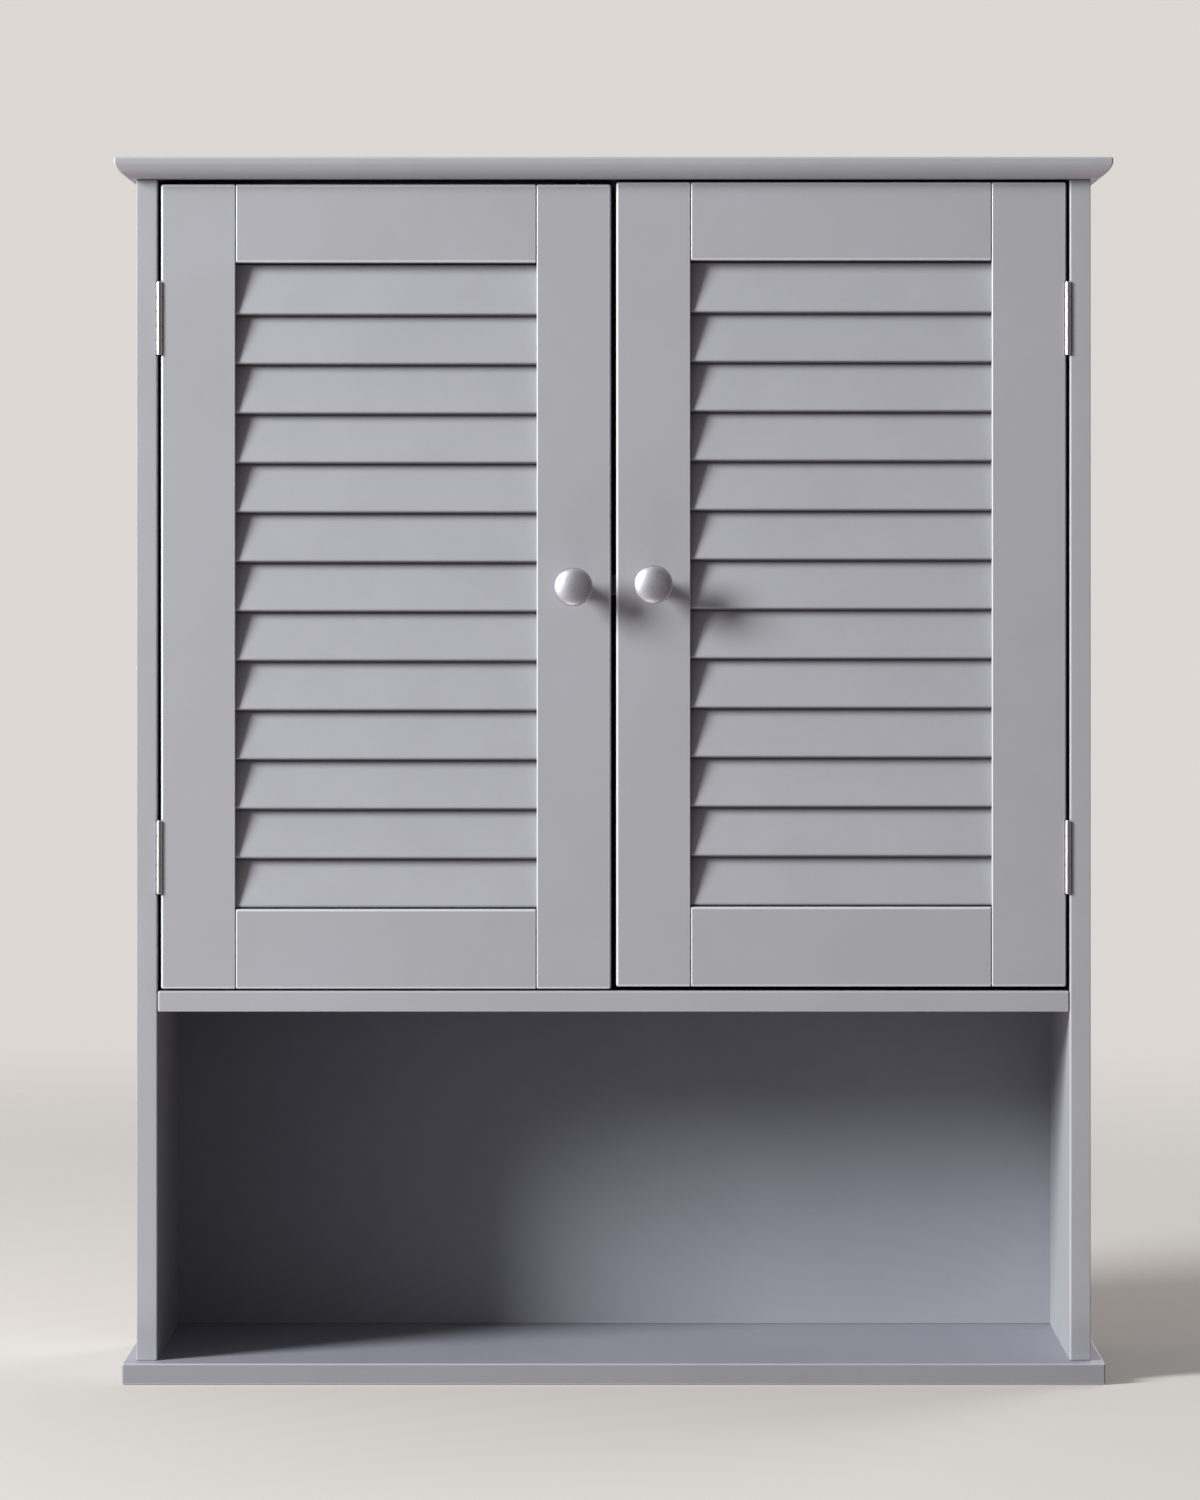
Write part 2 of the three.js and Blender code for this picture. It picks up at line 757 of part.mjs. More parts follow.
function placeShelfPins(group) {
  const [frontColumn, rearColumn] = pinColumns();
  for (const [sideName, side] of [["left", -1], ["right", 1]]) {
    for (const [columnName, column] of [["front", frontColumn], ["rear", rearColumn]]) {
      const name = `shelf_pin_${sideName}_${columnName}`;
      const pin = shelfPin(-side);
      place(group, name, pin, zincPlate, (side * innerWidth) / 2, column, pinAxisHeight);
    }
  }
}

function placeCatches(group) {
  const strikeBack = doorBack + strikeSeatGap + strikeThickness;
  const catchFront = strikeBack + catchClosedGap + poleProjection;
  const ceiling = compartmentCeiling - jointGap;
  for (const [sideName, side] of [["left", -1], ["right", 1]]) {
    const name = `${sideName}_magnetic_catch`;
    place(group, name, magneticCatch(), catchPlastic, side * catchOffset, catchFront, ceiling);
  }
}

// Heights of a hinge's foot for the upper and lower hinges
function hingeFeet() {
  const lowerMiddle = compartmentFloor + doorEndGap + lowerHingeDistance;
  const upperMiddle = compartmentCeiling - doorEndGap - upperHingeDistance;
  return [["upper", upperMiddle - hingeHeight / 2], ["lower", lowerMiddle - hingeHeight / 2]];
}

function placeHinges(group, sideName, side) {
  for (const [levelName, foot] of hingeFeet()) {
    const name = `${sideName}_${levelName}_hinge`;
    const axisX = side * hingeAxisX;
    const frameLeaf = hingeLeaf(side, true);
    const doorLeaf = hingeLeaf(-side, false);
    place(group, `${name}_frame_leaf`, frameLeaf, nickelPlate, axisX, hingeAxisY, foot);
    place(group, `${name}_door_leaf`, doorLeaf, nickelPlate, axisX, hingeAxisY, foot);
  }
}

// One door, drawn about the middle of its foot at its front face
function door(sideName, side, rise) {
  const group = new THREE.Group();
  const stileX = (doorWidth - stileWidth) / 2;
  const hingeX = side * stileX;
  const meetingX = -side * stileX;
  const topRailFoot = doorHeight - topRailWidth;
  const strikeFoot = doorHeight - strikeEdgeDistance - strikeHeight;
  const doorMiddle = side * (doorCentreGap + doorWidth) / 2;
  const strikeX = side * catchOffset - doorMiddle;
  const strikeY = doorThickness + strikeSeatGap;
  const doorFoot = compartmentFloor + doorEndGap + rise;
  const recesses = barrelRecessCutters((side * (stileWidth + doorSideGap)) / 2, doorFoot);
  const named = (piece) => `${sideName}_door_${piece}`;
  place(group, named("hinge_stile"), stile(-side, recesses), doorPaint, hingeX, 0, 0);
  place(group, named("meeting_stile"), stile(side, [knobHoleCutter()]), doorPaint, meetingX, 0, 0);
  place(group, named("top_rail"), rail(topRailWidth), doorPaint, 0, 0, topRailFoot);
  place(group, named("bottom_rail"), rail(bottomRailWidth), doorPaint, 0, 0, 0);
  for (let index = 0; index < slatCount; index += 1) {
    const number = String(index + 1).padStart(2, "0");
    const foot = slatHeight(index);
    place(group, named(`slat_${number}`), slat(index), slatPaint, 0, slatSetback, foot);
  }
  place(group, named("knob"), knob(), satinAluminium, meetingX, -knobSeatGap, doorHeight / 2);
  place(group, named("strike_plate"), strikePlate(), zincPlate, strikeX, strikeY, strikeFoot);
  group.position.set(doorMiddle, sideFront, doorFoot);
  return group;
}

function cabinet() {
  const group = new THREE.Group();
  placeBoards(group);
  placeShelfPins(group);
  placeCatches(group);
  placeHinges(group, "left", -1);
  placeHinges(group, "right", 1);
  group.add(door("left", -1, -leftDoorDrop));
  group.add(door("right", 1, rightDoorRise));
  group.position.z = -hangingHeight;
  return group;
}

const wallCabinet = new THREE.Group();
wallCabinet.add(cabinet());

export default wallCabinet;
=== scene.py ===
"""Looks of a wall cabinet with two louvred doors above an open bay.

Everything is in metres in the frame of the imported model: +X to the right, +Y into the wall
and +Z up, with the origin on the wall plane, level with the two hanging screws.
"""

import logging
import math
from collections.abc import Iterable
from dataclasses import dataclass
from enum import Enum
from typing import Any

import bmesh
import bpy
from bpy.types import NodeSocket as Socket
from mathutils import Matrix, Vector


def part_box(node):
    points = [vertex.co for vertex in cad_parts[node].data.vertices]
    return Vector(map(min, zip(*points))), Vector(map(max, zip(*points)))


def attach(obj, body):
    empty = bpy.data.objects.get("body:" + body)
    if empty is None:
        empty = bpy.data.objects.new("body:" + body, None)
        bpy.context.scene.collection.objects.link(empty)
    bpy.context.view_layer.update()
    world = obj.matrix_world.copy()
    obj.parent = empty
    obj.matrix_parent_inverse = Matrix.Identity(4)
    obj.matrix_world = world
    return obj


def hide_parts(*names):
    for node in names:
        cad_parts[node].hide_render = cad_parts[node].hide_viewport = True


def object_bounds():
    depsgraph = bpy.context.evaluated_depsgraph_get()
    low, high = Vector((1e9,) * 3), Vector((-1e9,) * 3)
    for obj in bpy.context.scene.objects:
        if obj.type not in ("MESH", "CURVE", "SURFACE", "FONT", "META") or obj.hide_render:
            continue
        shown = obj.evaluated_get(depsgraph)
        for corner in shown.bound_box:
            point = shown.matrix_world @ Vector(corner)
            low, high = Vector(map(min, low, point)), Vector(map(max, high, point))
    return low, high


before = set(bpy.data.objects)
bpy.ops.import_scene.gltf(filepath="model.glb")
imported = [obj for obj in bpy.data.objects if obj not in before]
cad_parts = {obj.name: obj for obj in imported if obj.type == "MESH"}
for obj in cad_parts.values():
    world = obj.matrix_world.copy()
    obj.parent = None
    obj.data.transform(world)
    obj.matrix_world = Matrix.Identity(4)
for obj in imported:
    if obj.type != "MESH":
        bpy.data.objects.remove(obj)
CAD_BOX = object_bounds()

LOG = logging.getLogger("cabinet")

MM = 0.001
TOLERANCE = 0.01 * MM
# Face attribute of rounded arrises, which are glossier from wear and carry a painted highlight
WEAR_AND_HIGHLIGHT = "wear_and_highlight"
# Vertex attribute for painted shade in the slats' crevices and on their undersides
CREVICE_SHADE = "painted_crevice_shade"
SMOOTH_ANGLE = math.radians(35)
ALIGNED = 0.999
LARGE_FACE_WEIGHT = 100

AXIS_X = Vector((1, 0, 0))
AXIS_Y = Vector((0, 1, 0))
AXIS_Z = Vector((0, 0, 1))


class Side(Enum):
    """One of the cabinet's two sides, by the sign of its X."""

    LEFT = -1
    RIGHT = 1

    @property
    def label(self) -> str:
        """The side's name as the nodes spell it."""
        return self.name.lower()


class Level(Enum):
    """The height of a hinge on its door."""

    UPPER = "upper"
    LOWER = "lower"


class Recess(Enum):
    """The drive cut into a screw's head."""

    CROSS = 2
    SLOT = 1


def linear(code: str) -> tuple[float, float, float, float]:
    """Turns an sRGB hex colour into linear RGBA.

    Args:
        code: Six hex digits after a hash.

    Returns:
        The linear red, green and blue, and an alpha of 1.
    """
    channels = [int(code[start:start + 2], 16) / 255 for start in (1, 3, 5)]
    bright = [c / 12.92 if c <= 0.04045 else ((c + 0.055) / 1.055) ** 2.4 for c in channels]
    return (*bright, 1.0)


class Nodes:
    """A tree of shader nodes, with the steps that most recipes share."""

    def __init__(self, tree: bpy.types.NodeTree) -> None:
        """Starts with an empty tree."""
        self.tree = tree
        tree.nodes.clear()

    def add(
        self, kind: str, options: dict[str, Any] | None = None, inputs: dict[str | int, Any] | None = None
    ) -> bpy.types.Node:
        """Adds one node with its settings and links.

        Args:
            kind: The node's type after ShaderNode, such as TexNoise.
            options: Values of the node's own properties, by name.
            inputs: A value or another node's output for each input, by name or place.

        Returns:
            The new node.
        """
        node = self.tree.nodes.new(f"ShaderNode{kind}")
        for name, value in (options or {}).items():
            setattr(node, name, value)
        for name, value in (inputs or {}).items():
            if isinstance(value, Socket):
                self.tree.links.new(value, node.inputs[name])
            else:
                node.inputs[name].default_value = value
        return node

    def noise(self, where: Socket, size: float, detail: float = 2.0, roughness: float = 0.5) -> Socket:
        """Soft noise whose features are about one size across."""
        inputs = {"Vector": where, "Scale": 1 / size, "Detail": detail, "Roughness": roughness}
        return self.add("TexNoise", None, inputs).outputs["Fac"]

    def blend(self, share: float | Socket, first: Socket, second: float | Socket) -> Socket:
        """A pattern mixed with a share of another pattern or number."""
        inputs = {"Factor": share, 2: first, 3: second}
        return self.add("Mix", {"data_type": "FLOAT"}, inputs).outputs[0]

    def tint(self, share: Socket, first: str | Socket, second: str) -> Socket:
        """A colour mixed with a share of another one."""
        start = linear(first) if isinstance(first, str) else first
        inputs = {"Factor": share, 6: start, 7: linear(second)}
        return self.add("Mix", {"data_type": "RGBA"}, inputs).outputs[2]

    def ranged(
        self,
        value: Socket,
        start: float = 0.0,
        stop: float = 1.0,
        low: float | Socket = 0.0,
        high: float = 1.0,
        smooth: bool = False,
    ) -> Socket:
        """Maps a value from one range to another.

        Args:
            value: The value to map.
            start: The value that gives the low end.
            stop: The value that gives the high end.
            low: What the low end is.
            high: What the high end is.
            smooth: Whether the ends are eased.

        Returns:
            The mapped value.
        """
        options = {"interpolation_type": "SMOOTHSTEP"} if smooth else {}
        inputs = {"Value": value, "From Min": start, "From Max": stop, "To Min": low, "To Max": high}
        return self.add("MapRange", options, inputs).outputs["Result"]

    def vector_math(self, operation: str, first: Socket, second: Vector | None = None) -> bpy.types.Node:
        """One step of vector arithmetic."""
        inputs = {0: first} if second is None else {0: first, 1: second}
        return self.add("VectorMath", {"operation": operation}, inputs)

    def glow(self, colour: str, strength: float | Socket) -> Socket:
        """Light that comes from the surroundings."""
        return self.add("Background", None, {"Color": linear(colour), "Strength": strength}).outputs[0]

    def mix_shaders(self, share: Socket, first: Socket, second: Socket) -> Socket:
        """A shader mixed with a share of another one."""
        return self.add("MixShader", None, {0: share, 1: first, 2: second}).outputs[0]


class Recipe(Nodes):
    """The nodes of one material, whose patterns lie in the piece's own coordinates."""

    def __init__(self, name: str) -> None:
        """Starts an empty material."""
        self.material = bpy.data.materials.new(name)
        self.material.use_nodes = True
        super().__init__(self.material.node_tree)
        self.where = self.add("TexCoord").outputs["Object"]

    def mark(self, name: str) -> Socket:
        """A number that the mesh carries in an attribute."""
        return self.add("Attribute", {"attribute_name": name}).outputs["Fac"]

    def bump(self, height: Socket, distance: float) -> Socket:
        """A normal that a pattern of heights bends."""
        return self.add("Bump", None, {"Distance": distance, "Height": height}).outputs["Normal"]

    def surface(self, inputs: dict[str, Any]) -> Socket:
        """A Principled BSDF with some of its inputs set."""
        return self.add("BsdfPrincipled", None, inputs).outputs[0]

    def finished(self, shader: Socket) -> bpy.types.Material:
        """Ends the recipe with its shader and gives the material."""
        self.add("OutputMaterial", None, {"Surface": shader})
        return self.material


class Finish:
    """A surface finish, which makes its material once and hands it to every piece."""

    made: dict["Finish", bpy.types.Material] = {}

    @property
    def material(self) -> bpy.types.Material:
        """The finish's material, made when it is first asked for."""
        if self not in Finish.made:
            Finish.made[self] = self.mix()
        return Finish.made[self]

    def mix(self) -> bpy.types.Material:
        """Makes the material."""
        raise NotImplementedError


@dataclass(frozen=True)
class SprayedLacquer(Finish):
    """Satin polyurethane lacquer, sprayed on fibreboard.

    It reads as a soft even grey with broad faint clouds where the coat is thicker, a fine
    orange peel in the highlights, arrises a little glossier from wear with a painted highlight
    that lightens them, and a painted shade, darker, in the slats' crevices and on their undersides.
    """

    name: str
    thick: str
    thin: str
    # Painted highlight: the lighter tone laid over rounded arrises, where light catches them
    arris_highlight: str
    roughness: float = 0.46
    gloss_change: float = 0.03
    arris_highlight_roughness: float = 0.3
    # Painted shade: the darker tone laid where a slat's crevice and underside fall in shade
    painted_shade: str = "#626166"
    ior: float = 1.5
    cloud_size: float = 70 * MM
    fleck_size: float = 1.6 * MM
    fleck_share: float = 0.3
    contrast: tuple[float, float] = (0.35, 0.65)
    peel_size: float = 2.4 * MM
    peel_height: float = 0.012 * MM

    def mix(self) -> bpy.types.Material:
        """Makes the material.

        Returns:
            A Principled BSDF with two scales of colour, painted arris highlights, painted crevice shade and
            orange peel.
        """
        recipe = Recipe(self.name)
        cloud = recipe.noise(recipe.where, self.cloud_size, detail=3.0, roughness=0.6)
        fleck = recipe.noise(recipe.where, self.fleck_size)
        coat = recipe.ranged(recipe.blend(self.fleck_share, cloud, fleck), *self.contrast)
        # The arris mark lightens the colour as a painted highlight and lowers the roughness as real wear
        wear_and_highlight = recipe.mark(WEAR_AND_HIGHLIGHT)
        body = recipe.tint(wear_and_highlight, recipe.tint(coat, self.thick, self.thin), self.arris_highlight)
        low, high = self.roughness - self.gloss_change, self.roughness + self.gloss_change
        gloss = recipe.ranged(cloud, low=low, high=high)
        peel = recipe.noise(recipe.where, self.peel_size, detail=1.0, roughness=0.4)
        # The crevice mark darkens the colour as painted shade
        shader = recipe.surface(
            {
                "Base Color": recipe.tint(recipe.mark(CREVICE_SHADE), body, self.painted_shade),
                "Roughness": recipe.blend(wear_and_highlight, gloss, self.arris_highlight_roughness),
                "IOR": self.ior,
                "Normal": recipe.bump(peel, self.peel_height),
            }
        )
        return recipe.finished(shader)


@dataclass(frozen=True)
class RawFibreboard(Finish):
    """Bare pressed fibreboard, as sawn and sanded.

    It gives a matt warm brown with short pale and dark fibres and a faint felt-like grain.
    """

    name: str
    ground: str
    fibre: str
    roughness: float = 0.85
    fibre_turns: tuple[float, float] = (math.radians(20), math.radians(-55))
    fibre_width: float = 0.9 * MM
    fibre_length: float = 5 * MM
    patch_size: float = 45 * MM
    patch_share: float = 0.25
    contrast: tuple[float, float] = (0.38, 0.62)
    grain_height: float = 0.05 * MM

    def mix(self) -> bpy.types.Material:
        """Makes the material.

        Returns:
            A Principled BSDF with two sets of crossed fibres over slow patches.
        """
        recipe = Recipe(self.name)
        first, second = (self.fibres(recipe, turn) for turn in self.fibre_turns)
        fibres = recipe.blend(0.5, first, second)
        patch = recipe.noise(recipe.where, self.patch_size)
        tone = recipe.ranged(recipe.blend(self.patch_share, fibres, patch), *self.contrast)
        shader = recipe.surface(
            {
                "Base Color": recipe.tint(tone, self.ground, self.fibre),
                "Roughness": self.roughness,
                "Normal": recipe.bump(fibres, self.grain_height),
            }
        )
        return recipe.finished(shader)

    def fibres(self, recipe: Recipe, turn: float) -> Socket:
        """Noise that is drawn out into fibres, which lie at one angle on the board."""
        scale = (1 / self.fibre_length, 1 / self.fibre_width, 1 / self.fibre_width)
        inputs = {"Vector": recipe.where, "Rotation": (0, turn, 0), "Scale": scale}
        drawn_out = recipe.add("Mapping", None, inputs).outputs[0]
        return recipe.noise(drawn_out, size=1.0, roughness=0.6)


@dataclass(frozen=True)
class Metal(Finish):
    """Bare or plated metal with a satin grain.

    Its light comes almost all from reflection, broken up by a fine tooth, with a slow change
    of gloss where hands and tools have been.
    """

    name: str
    colour: str
    shade: str
    roughness: float
    grain_size: float
    grain_height: float
    smudge_size: float = 9 * MM
    smudge: float = 0.06

    def mix(self) -> bpy.types.Material:
        """Makes the material.

        Returns:
            A metallic Principled BSDF with a bump of its grain and uneven gloss.
        """
        recipe = Recipe(self.name)
        smudge = recipe.noise(recipe.where, self.smudge_size, detail=3.0)
        grain = recipe.noise(recipe.where, self.grain_size)
        low, high = self.roughness - self.smudge, self.roughness + self.smudge
        shader = recipe.surface(
            {
                "Base Color": recipe.tint(grain, self.shade, self.colour),
                "Metallic": 1.0,
                "Roughness": recipe.ranged(smudge, low=low, high=high),
                "Normal": recipe.bump(grain, self.grain_height),
            }
        )
        return recipe.finished(shader)


@dataclass(frozen=True)
class MouldedPlastic(Finish):
    """Injection moulded plastic with a spark-eroded texture.

    It gives a dull, even colour with a very fine pebble in its highlights.
    """

    name: str
    colour: str
    fade: str
    roughness: float = 0.5
    ior: float = 1.46
    pebble_size: float = 0.5 * MM
    pebble_height: float = 0.02 * MM
    fade_size: float = 12 * MM

    def mix(self) -> bpy.types.Material:
        """Makes the material.

        Returns:
            A Principled BSDF with a slow change of tone and a pebbled bump.
        """
        recipe = Recipe(self.name)
        fade = recipe.noise(recipe.where, self.fade_size)
        pebble = recipe.noise(recipe.where, self.pebble_size)
        shader = recipe.surface(
            {
                "Base Color": recipe.tint(fade, self.colour, self.fade),
                "Roughness": self.roughness,
                "IOR": self.ior,
                "Normal": recipe.bump(pebble, self.pebble_height),
            }
        )
        return recipe.finished(shader)


# The third colour of each lacquer is a painted highlight for its arrises; the doors' is the lightest
CARCASS_LACQUER = SprayedLacquer("carcass_sprayed_lacquer", "#949398", "#98979d", "#a3a2a8")
DOOR_LACQUER = SprayedLacquer(
    "door_sprayed_lacquer", "#949398", "#97969c", "#b9b9be", arris_highlight_roughness=0.26
)
EDGE_LACQUER = SprayedLacquer("board_edge_sprayed_lacquer", "#807f84", "#848388", "#8c8b91")
SLAT_LACQUER = SprayedLacquer(
    "slat_sprayed_lacquer", "#95949a", "#99989e", "#a0a0a6", cloud_size=45 * MM
)
# A bluer copy of the carcass grey for the back panel's face, painting the cool light in the bay
PANEL_LACQUER = SprayedLacquer("back_panel_sprayed_lacquer", "#96969f", "#9a9aa3", "#a0a0a8")
# A darker, bluer copy of the carcass grey for the bottom board's top and underside: painted shade and cool
# light of the bay
BAY_FLOOR_LACQUER = SprayedLacquer("bay_floor_sprayed_lacquer", "#8f8f9a", "#93939e", "#a3a2a8")
BARE_BOARD = RawFibreboard("bare_pressed_fibreboard", "#8a6c4c", "#a5855f")
BLASTED_ALUMINIUM = Metal(
    "bead_blasted_aluminium", "#c9c8ce", "#aaa9af", 0.46, grain_size=1.2 * MM, grain_height=0.035 * MM
)
NICKEL_PLATE = Metal(
    "nickel_plated_steel", "#e6e4e0", "#d6d4d0", 0.3, grain_size=0.4 * MM, grain_height=0.006 * MM
)
ZINC_PLATE = Metal(
    "zinc_plated_steel", "#bfc3c7", "#a9adb2", 0.38, grain_size=0.8 * MM, grain_height=0.01 * MM
)
FERRITE = MouldedPlastic("pressed_ferrite", "#2b2a2c", "#353436", roughness=0.6)
CATCH_PLASTIC = MouldedPlastic("moulded_brown_plastic", "#3b3430", "#463e39")
CAM_ZINC = Metal(
    "die_cast_zinc", "#a5a6a8", "#8e8f92", 0.48, grain_size=0.9 * MM, grain_height=0.02 * MM
)


class Blank:
    """A piece being worked, as a bmesh whose faces remember whether they are arrises with wear and a
    painted highlight.
    """

    arris_steps = 4

    def __init__(self) -> None:
        """Starts with nothing."""
        self.mesh = bmesh.new()
        self.wear_and_highlight = self.mesh.faces.layers.float.new(WEAR_AND_HIGHLIGHT)

    @classmethod
    def block(cls, low: Vector, high: Vector) -> "Blank":
        """Starts with one square block between two corners."""
        blank = cls()
        blank.add_block(low, high)
        return blank

    def add_block(self, low: Vector, high: Vector) -> None:
        """Adds a square block between two corners."""
        place = Matrix.Translation((low + high) / 2) @ Matrix.Diagonal((*(high - low), 1))
        bmesh.ops.create_cube(self.mesh, size=1, matrix=place)

    def add_cylinder(self, centre: Vector, axis: Vector, radius: float, length: float, steps: int) -> None:
        """Adds a closed cylinder.

        Args:
            centre: The middle of its axis.
            axis: The direction of its axis.
            radius: Its radius.
            length: Its length.
            steps: How many sides it has.
        """
        place = Matrix.Translation(centre) @ axis.to_track_quat("Z", "Y").to_matrix().to_4x4()
        bmesh.ops.create_cone(
            self.mesh,
            cap_ends=True,
            segments=steps,
            radius1=radius,
            radius2=radius,
            depth=length,
            matrix=place,
        )

    def add_turned(self, outline: "TurnedOutline", place: Matrix, steps: int) -> None:
        """Adds a turned solid, whose outline spins about local Z and is then put in place.

        Args:
            outline: Radius and height pairs that start and end on the axis.
            place: Where the local frame goes.
            steps: How many steps the full turn takes.
        """
        verts = [self.mesh.verts.new((radius, 0, height)) for radius, height in outline.points]
        edges = [self.mesh.edges.new(pair) for pair in zip(verts, verts[1:])]
        kept = set(self.mesh.verts) - set(verts)
        bmesh.ops.spin(
            self.mesh,
            geom=[*verts, *edges],
            cent=(0, 0, 0),
            axis=(0, 0, 1),
            angle=math.tau,
            steps=steps,
            use_merge=True,
        )
        turned = [vert for vert in self.mesh.verts if vert not in kept]
        bmesh.ops.remove_doubles(self.mesh, verts=turned, dist=TOLERANCE)
        turned = [vert for vert in self.mesh.verts if vert not in kept]
        faces = list({face for vert in turned for face in vert.link_faces})
        bmesh.ops.recalc_face_normals(self.mesh, faces=faces)
        bmesh.ops.transform(self.mesh, matrix=place, verts=turned)

    def add_copies(self, mesh: bpy.types.Mesh, places: Iterable[Matrix]) -> None:
        """Adds a finished mesh at each of several places."""
        for place in places:
            kept = set(self.mesh.verts)
            self.mesh.from_mesh(mesh)
            bmesh.ops.transform(
                self.mesh, matrix=place, verts=[vert for vert in self.mesh.verts if vert not in kept]
            )

    def edges_at(self, axis: int, value: float) -> set[bmesh.types.BMEdge]:
        """The edges that lie in the plane where one coordinate has a value."""
        return {
            edge
            for edge in self.mesh.edges
            if all(abs(vert.co[axis] - value) < TOLERANCE for vert in edge.verts)
        }

    def edges_along(self, axis: int) -> set[bmesh.types.BMEdge]:
        """The edges that run along one axis."""
        return {
            edge
            for edge in self.mesh.edges
            if abs((edge.verts[0].co - edge.verts[1].co).normalized()[axis]) > ALIGNED
        }

    def corners(self) -> set[bmesh.types.BMEdge]:
        """The edges that stick out sharply."""
        return {edge for edge in self.mesh.edges if edge.calc_face_angle_signed(0) > SMOOTH_ANGLE}

    def round_over(
        self,
        edges: Iterable[bmesh.types.BMEdge],
        radius: float,
        steps: int | None = None,
        profile: float = 0.5,
        wear_and_highlight: float = 1.0,
    ) -> None:
        """Rounds edges over.

        Args:
            edges: The edges to round.
            radius: How far the round reaches on both faces.
            steps: How many steps the round takes, or None for an arris's own.
            profile: 0.5 for a true round, less for a flatter one.
            wear_and_highlight: How much wear and painted highlight the new faces carry, from 0 to 1.
        """
        made = bmesh.ops.bevel(
            self.mesh,
            geom=list(edges),
            offset=radius,
            offset_type="OFFSET",
            segments=steps or self.arris_steps,
            profile=profile,
            affect="EDGES",
            clamp_overlap=True,
            material=-1,
        )
        for face in made["faces"]:
            face[self.wear_and_highlight] = wear_and_highlight

    def draw_out(self, face: bmesh.types.BMFace, shift: Vector) -> bmesh.types.BMFace:
        """Draws a face out of its solid.

        Args:
            face: The face to move, which is used up.
            shift: How far and which way it moves.

        Returns:
            The face at its new place.
        """
        made = bmesh.ops.extrude_face_region(self.mesh, geom=[face])
        moved = [item for item in made["geom"] if isinstance(item, bmesh.types.BMVert)]
        bmesh.ops.translate(self.mesh, verts=moved, vec=shift)
        bmesh.ops.delete(self.mesh, geom=[face], context="FACES_ONLY")
        return next(item for item in made["geom"] if isinstance(item, bmesh.types.BMFace))

    def split(self, point: Vector, normal: Vector) -> None:
        """Splits the faces along a plane, without parting the solid."""
        bmesh.ops.bisect_plane(
            self.mesh,
            geom=[*self.mesh.verts, *self.mesh.edges, *self.mesh.faces],
            plane_co=point,
            plane_no=normal,
        )

    def face_facing(self, direction: Vector, near: Vector) -> bmesh.types.BMFace:
        """The face that looks one way and lies nearest to a point."""
        facing = [face for face in self.mesh.faces if face.normal.dot(direction) > ALIGNED]
        return min(facing, key=lambda face: (face.calc_center_median() - near).length)

    def move(self, place: Matrix) -> None:
        """Moves all of the piece, and turns its faces out again if that mirrors it."""
        bmesh.ops.transform(self.mesh, matrix=place, verts=self.mesh.verts)
        if place.determinant() < 0:
            bmesh.ops.reverse_faces(self.mesh, faces=self.mesh.faces)

    def to_mesh(self, name: str) -> bpy.types.Mesh:
        """Ends the work and gives the mesh."""
        mesh = bpy.data.meshes.new(name)
        self.mesh.to_mesh(mesh)
        self.mesh.free()
        return mesh

    def cut(self, tool: "Blank") -> "Blank":
        """Cuts another blank's shape out of this one.

        Args:
            tool: What is cut away, which is used up.

        Returns:
            The cut piece as a new blank.
        """
        objects = [
            bpy.data.objects.new(name, blank.to_mesh(name))
            for name, blank in (("work", self), ("tool", tool))
        ]
        for item in objects:
            bpy.context.scene.collection.objects.link(item)
        modifier = objects[0].modifiers.new("cut", "BOOLEAN")
        modifier.operation = "DIFFERENCE"
        modifier.solver = "EXACT"
        modifier.object = objects[1]
        depsgraph = bpy.context.evaluated_depsgraph_get()
        result = bpy.data.meshes.new_from_object(objects[0].evaluated_get(depsgraph))
        blank = Blank()
        blank.mesh.from_mesh(result)
        blank.wear_and_highlight = blank.mesh.faces.layers.float[WEAR_AND_HIGHLIGHT]
        for item in objects:
            bpy.data.meshes.remove(item.data)
        bpy.data.meshes.remove(result)
        return blank


class TurnedOutline:
    """The half outline of a turned piece, as pairs of radius and height."""

    def __init__(self, height: float) -> None:
        """Starts on the axis at a height."""
        self.points: list[tuple[float, float]] = [(0.0, height)]

    def line(self, radius: float, height: float) -> "TurnedOutline":
        """Goes on in a straight line."""
        self.points.append((radius, height))
        return self

    def curve(self, radius: float, height: float, leaves_along_radius: bool, steps: int) -> "TurnedOutline":
        """Goes on along a quarter of an ellipse.

        Args:
            radius: The radius where it ends.
            height: The height where it ends.
            leaves_along_radius: Whether it starts out across the axis or along it.
            steps: How many steps it takes.

        Returns:
            The outline itself.
        """
        start = Vector(self.points[-1])
        reach = Vector((radius, height)) - start
        for step in range(1, steps + 1):
            turn = step / steps * math.pi / 2
            early, late = math.sin(turn), 1 - math.cos(turn)
            across, along = (early, late) if leaves_along_radius else (late, early)
            self.points.append((start.x + reach.x * across, start.y + reach.y * along))
        return self


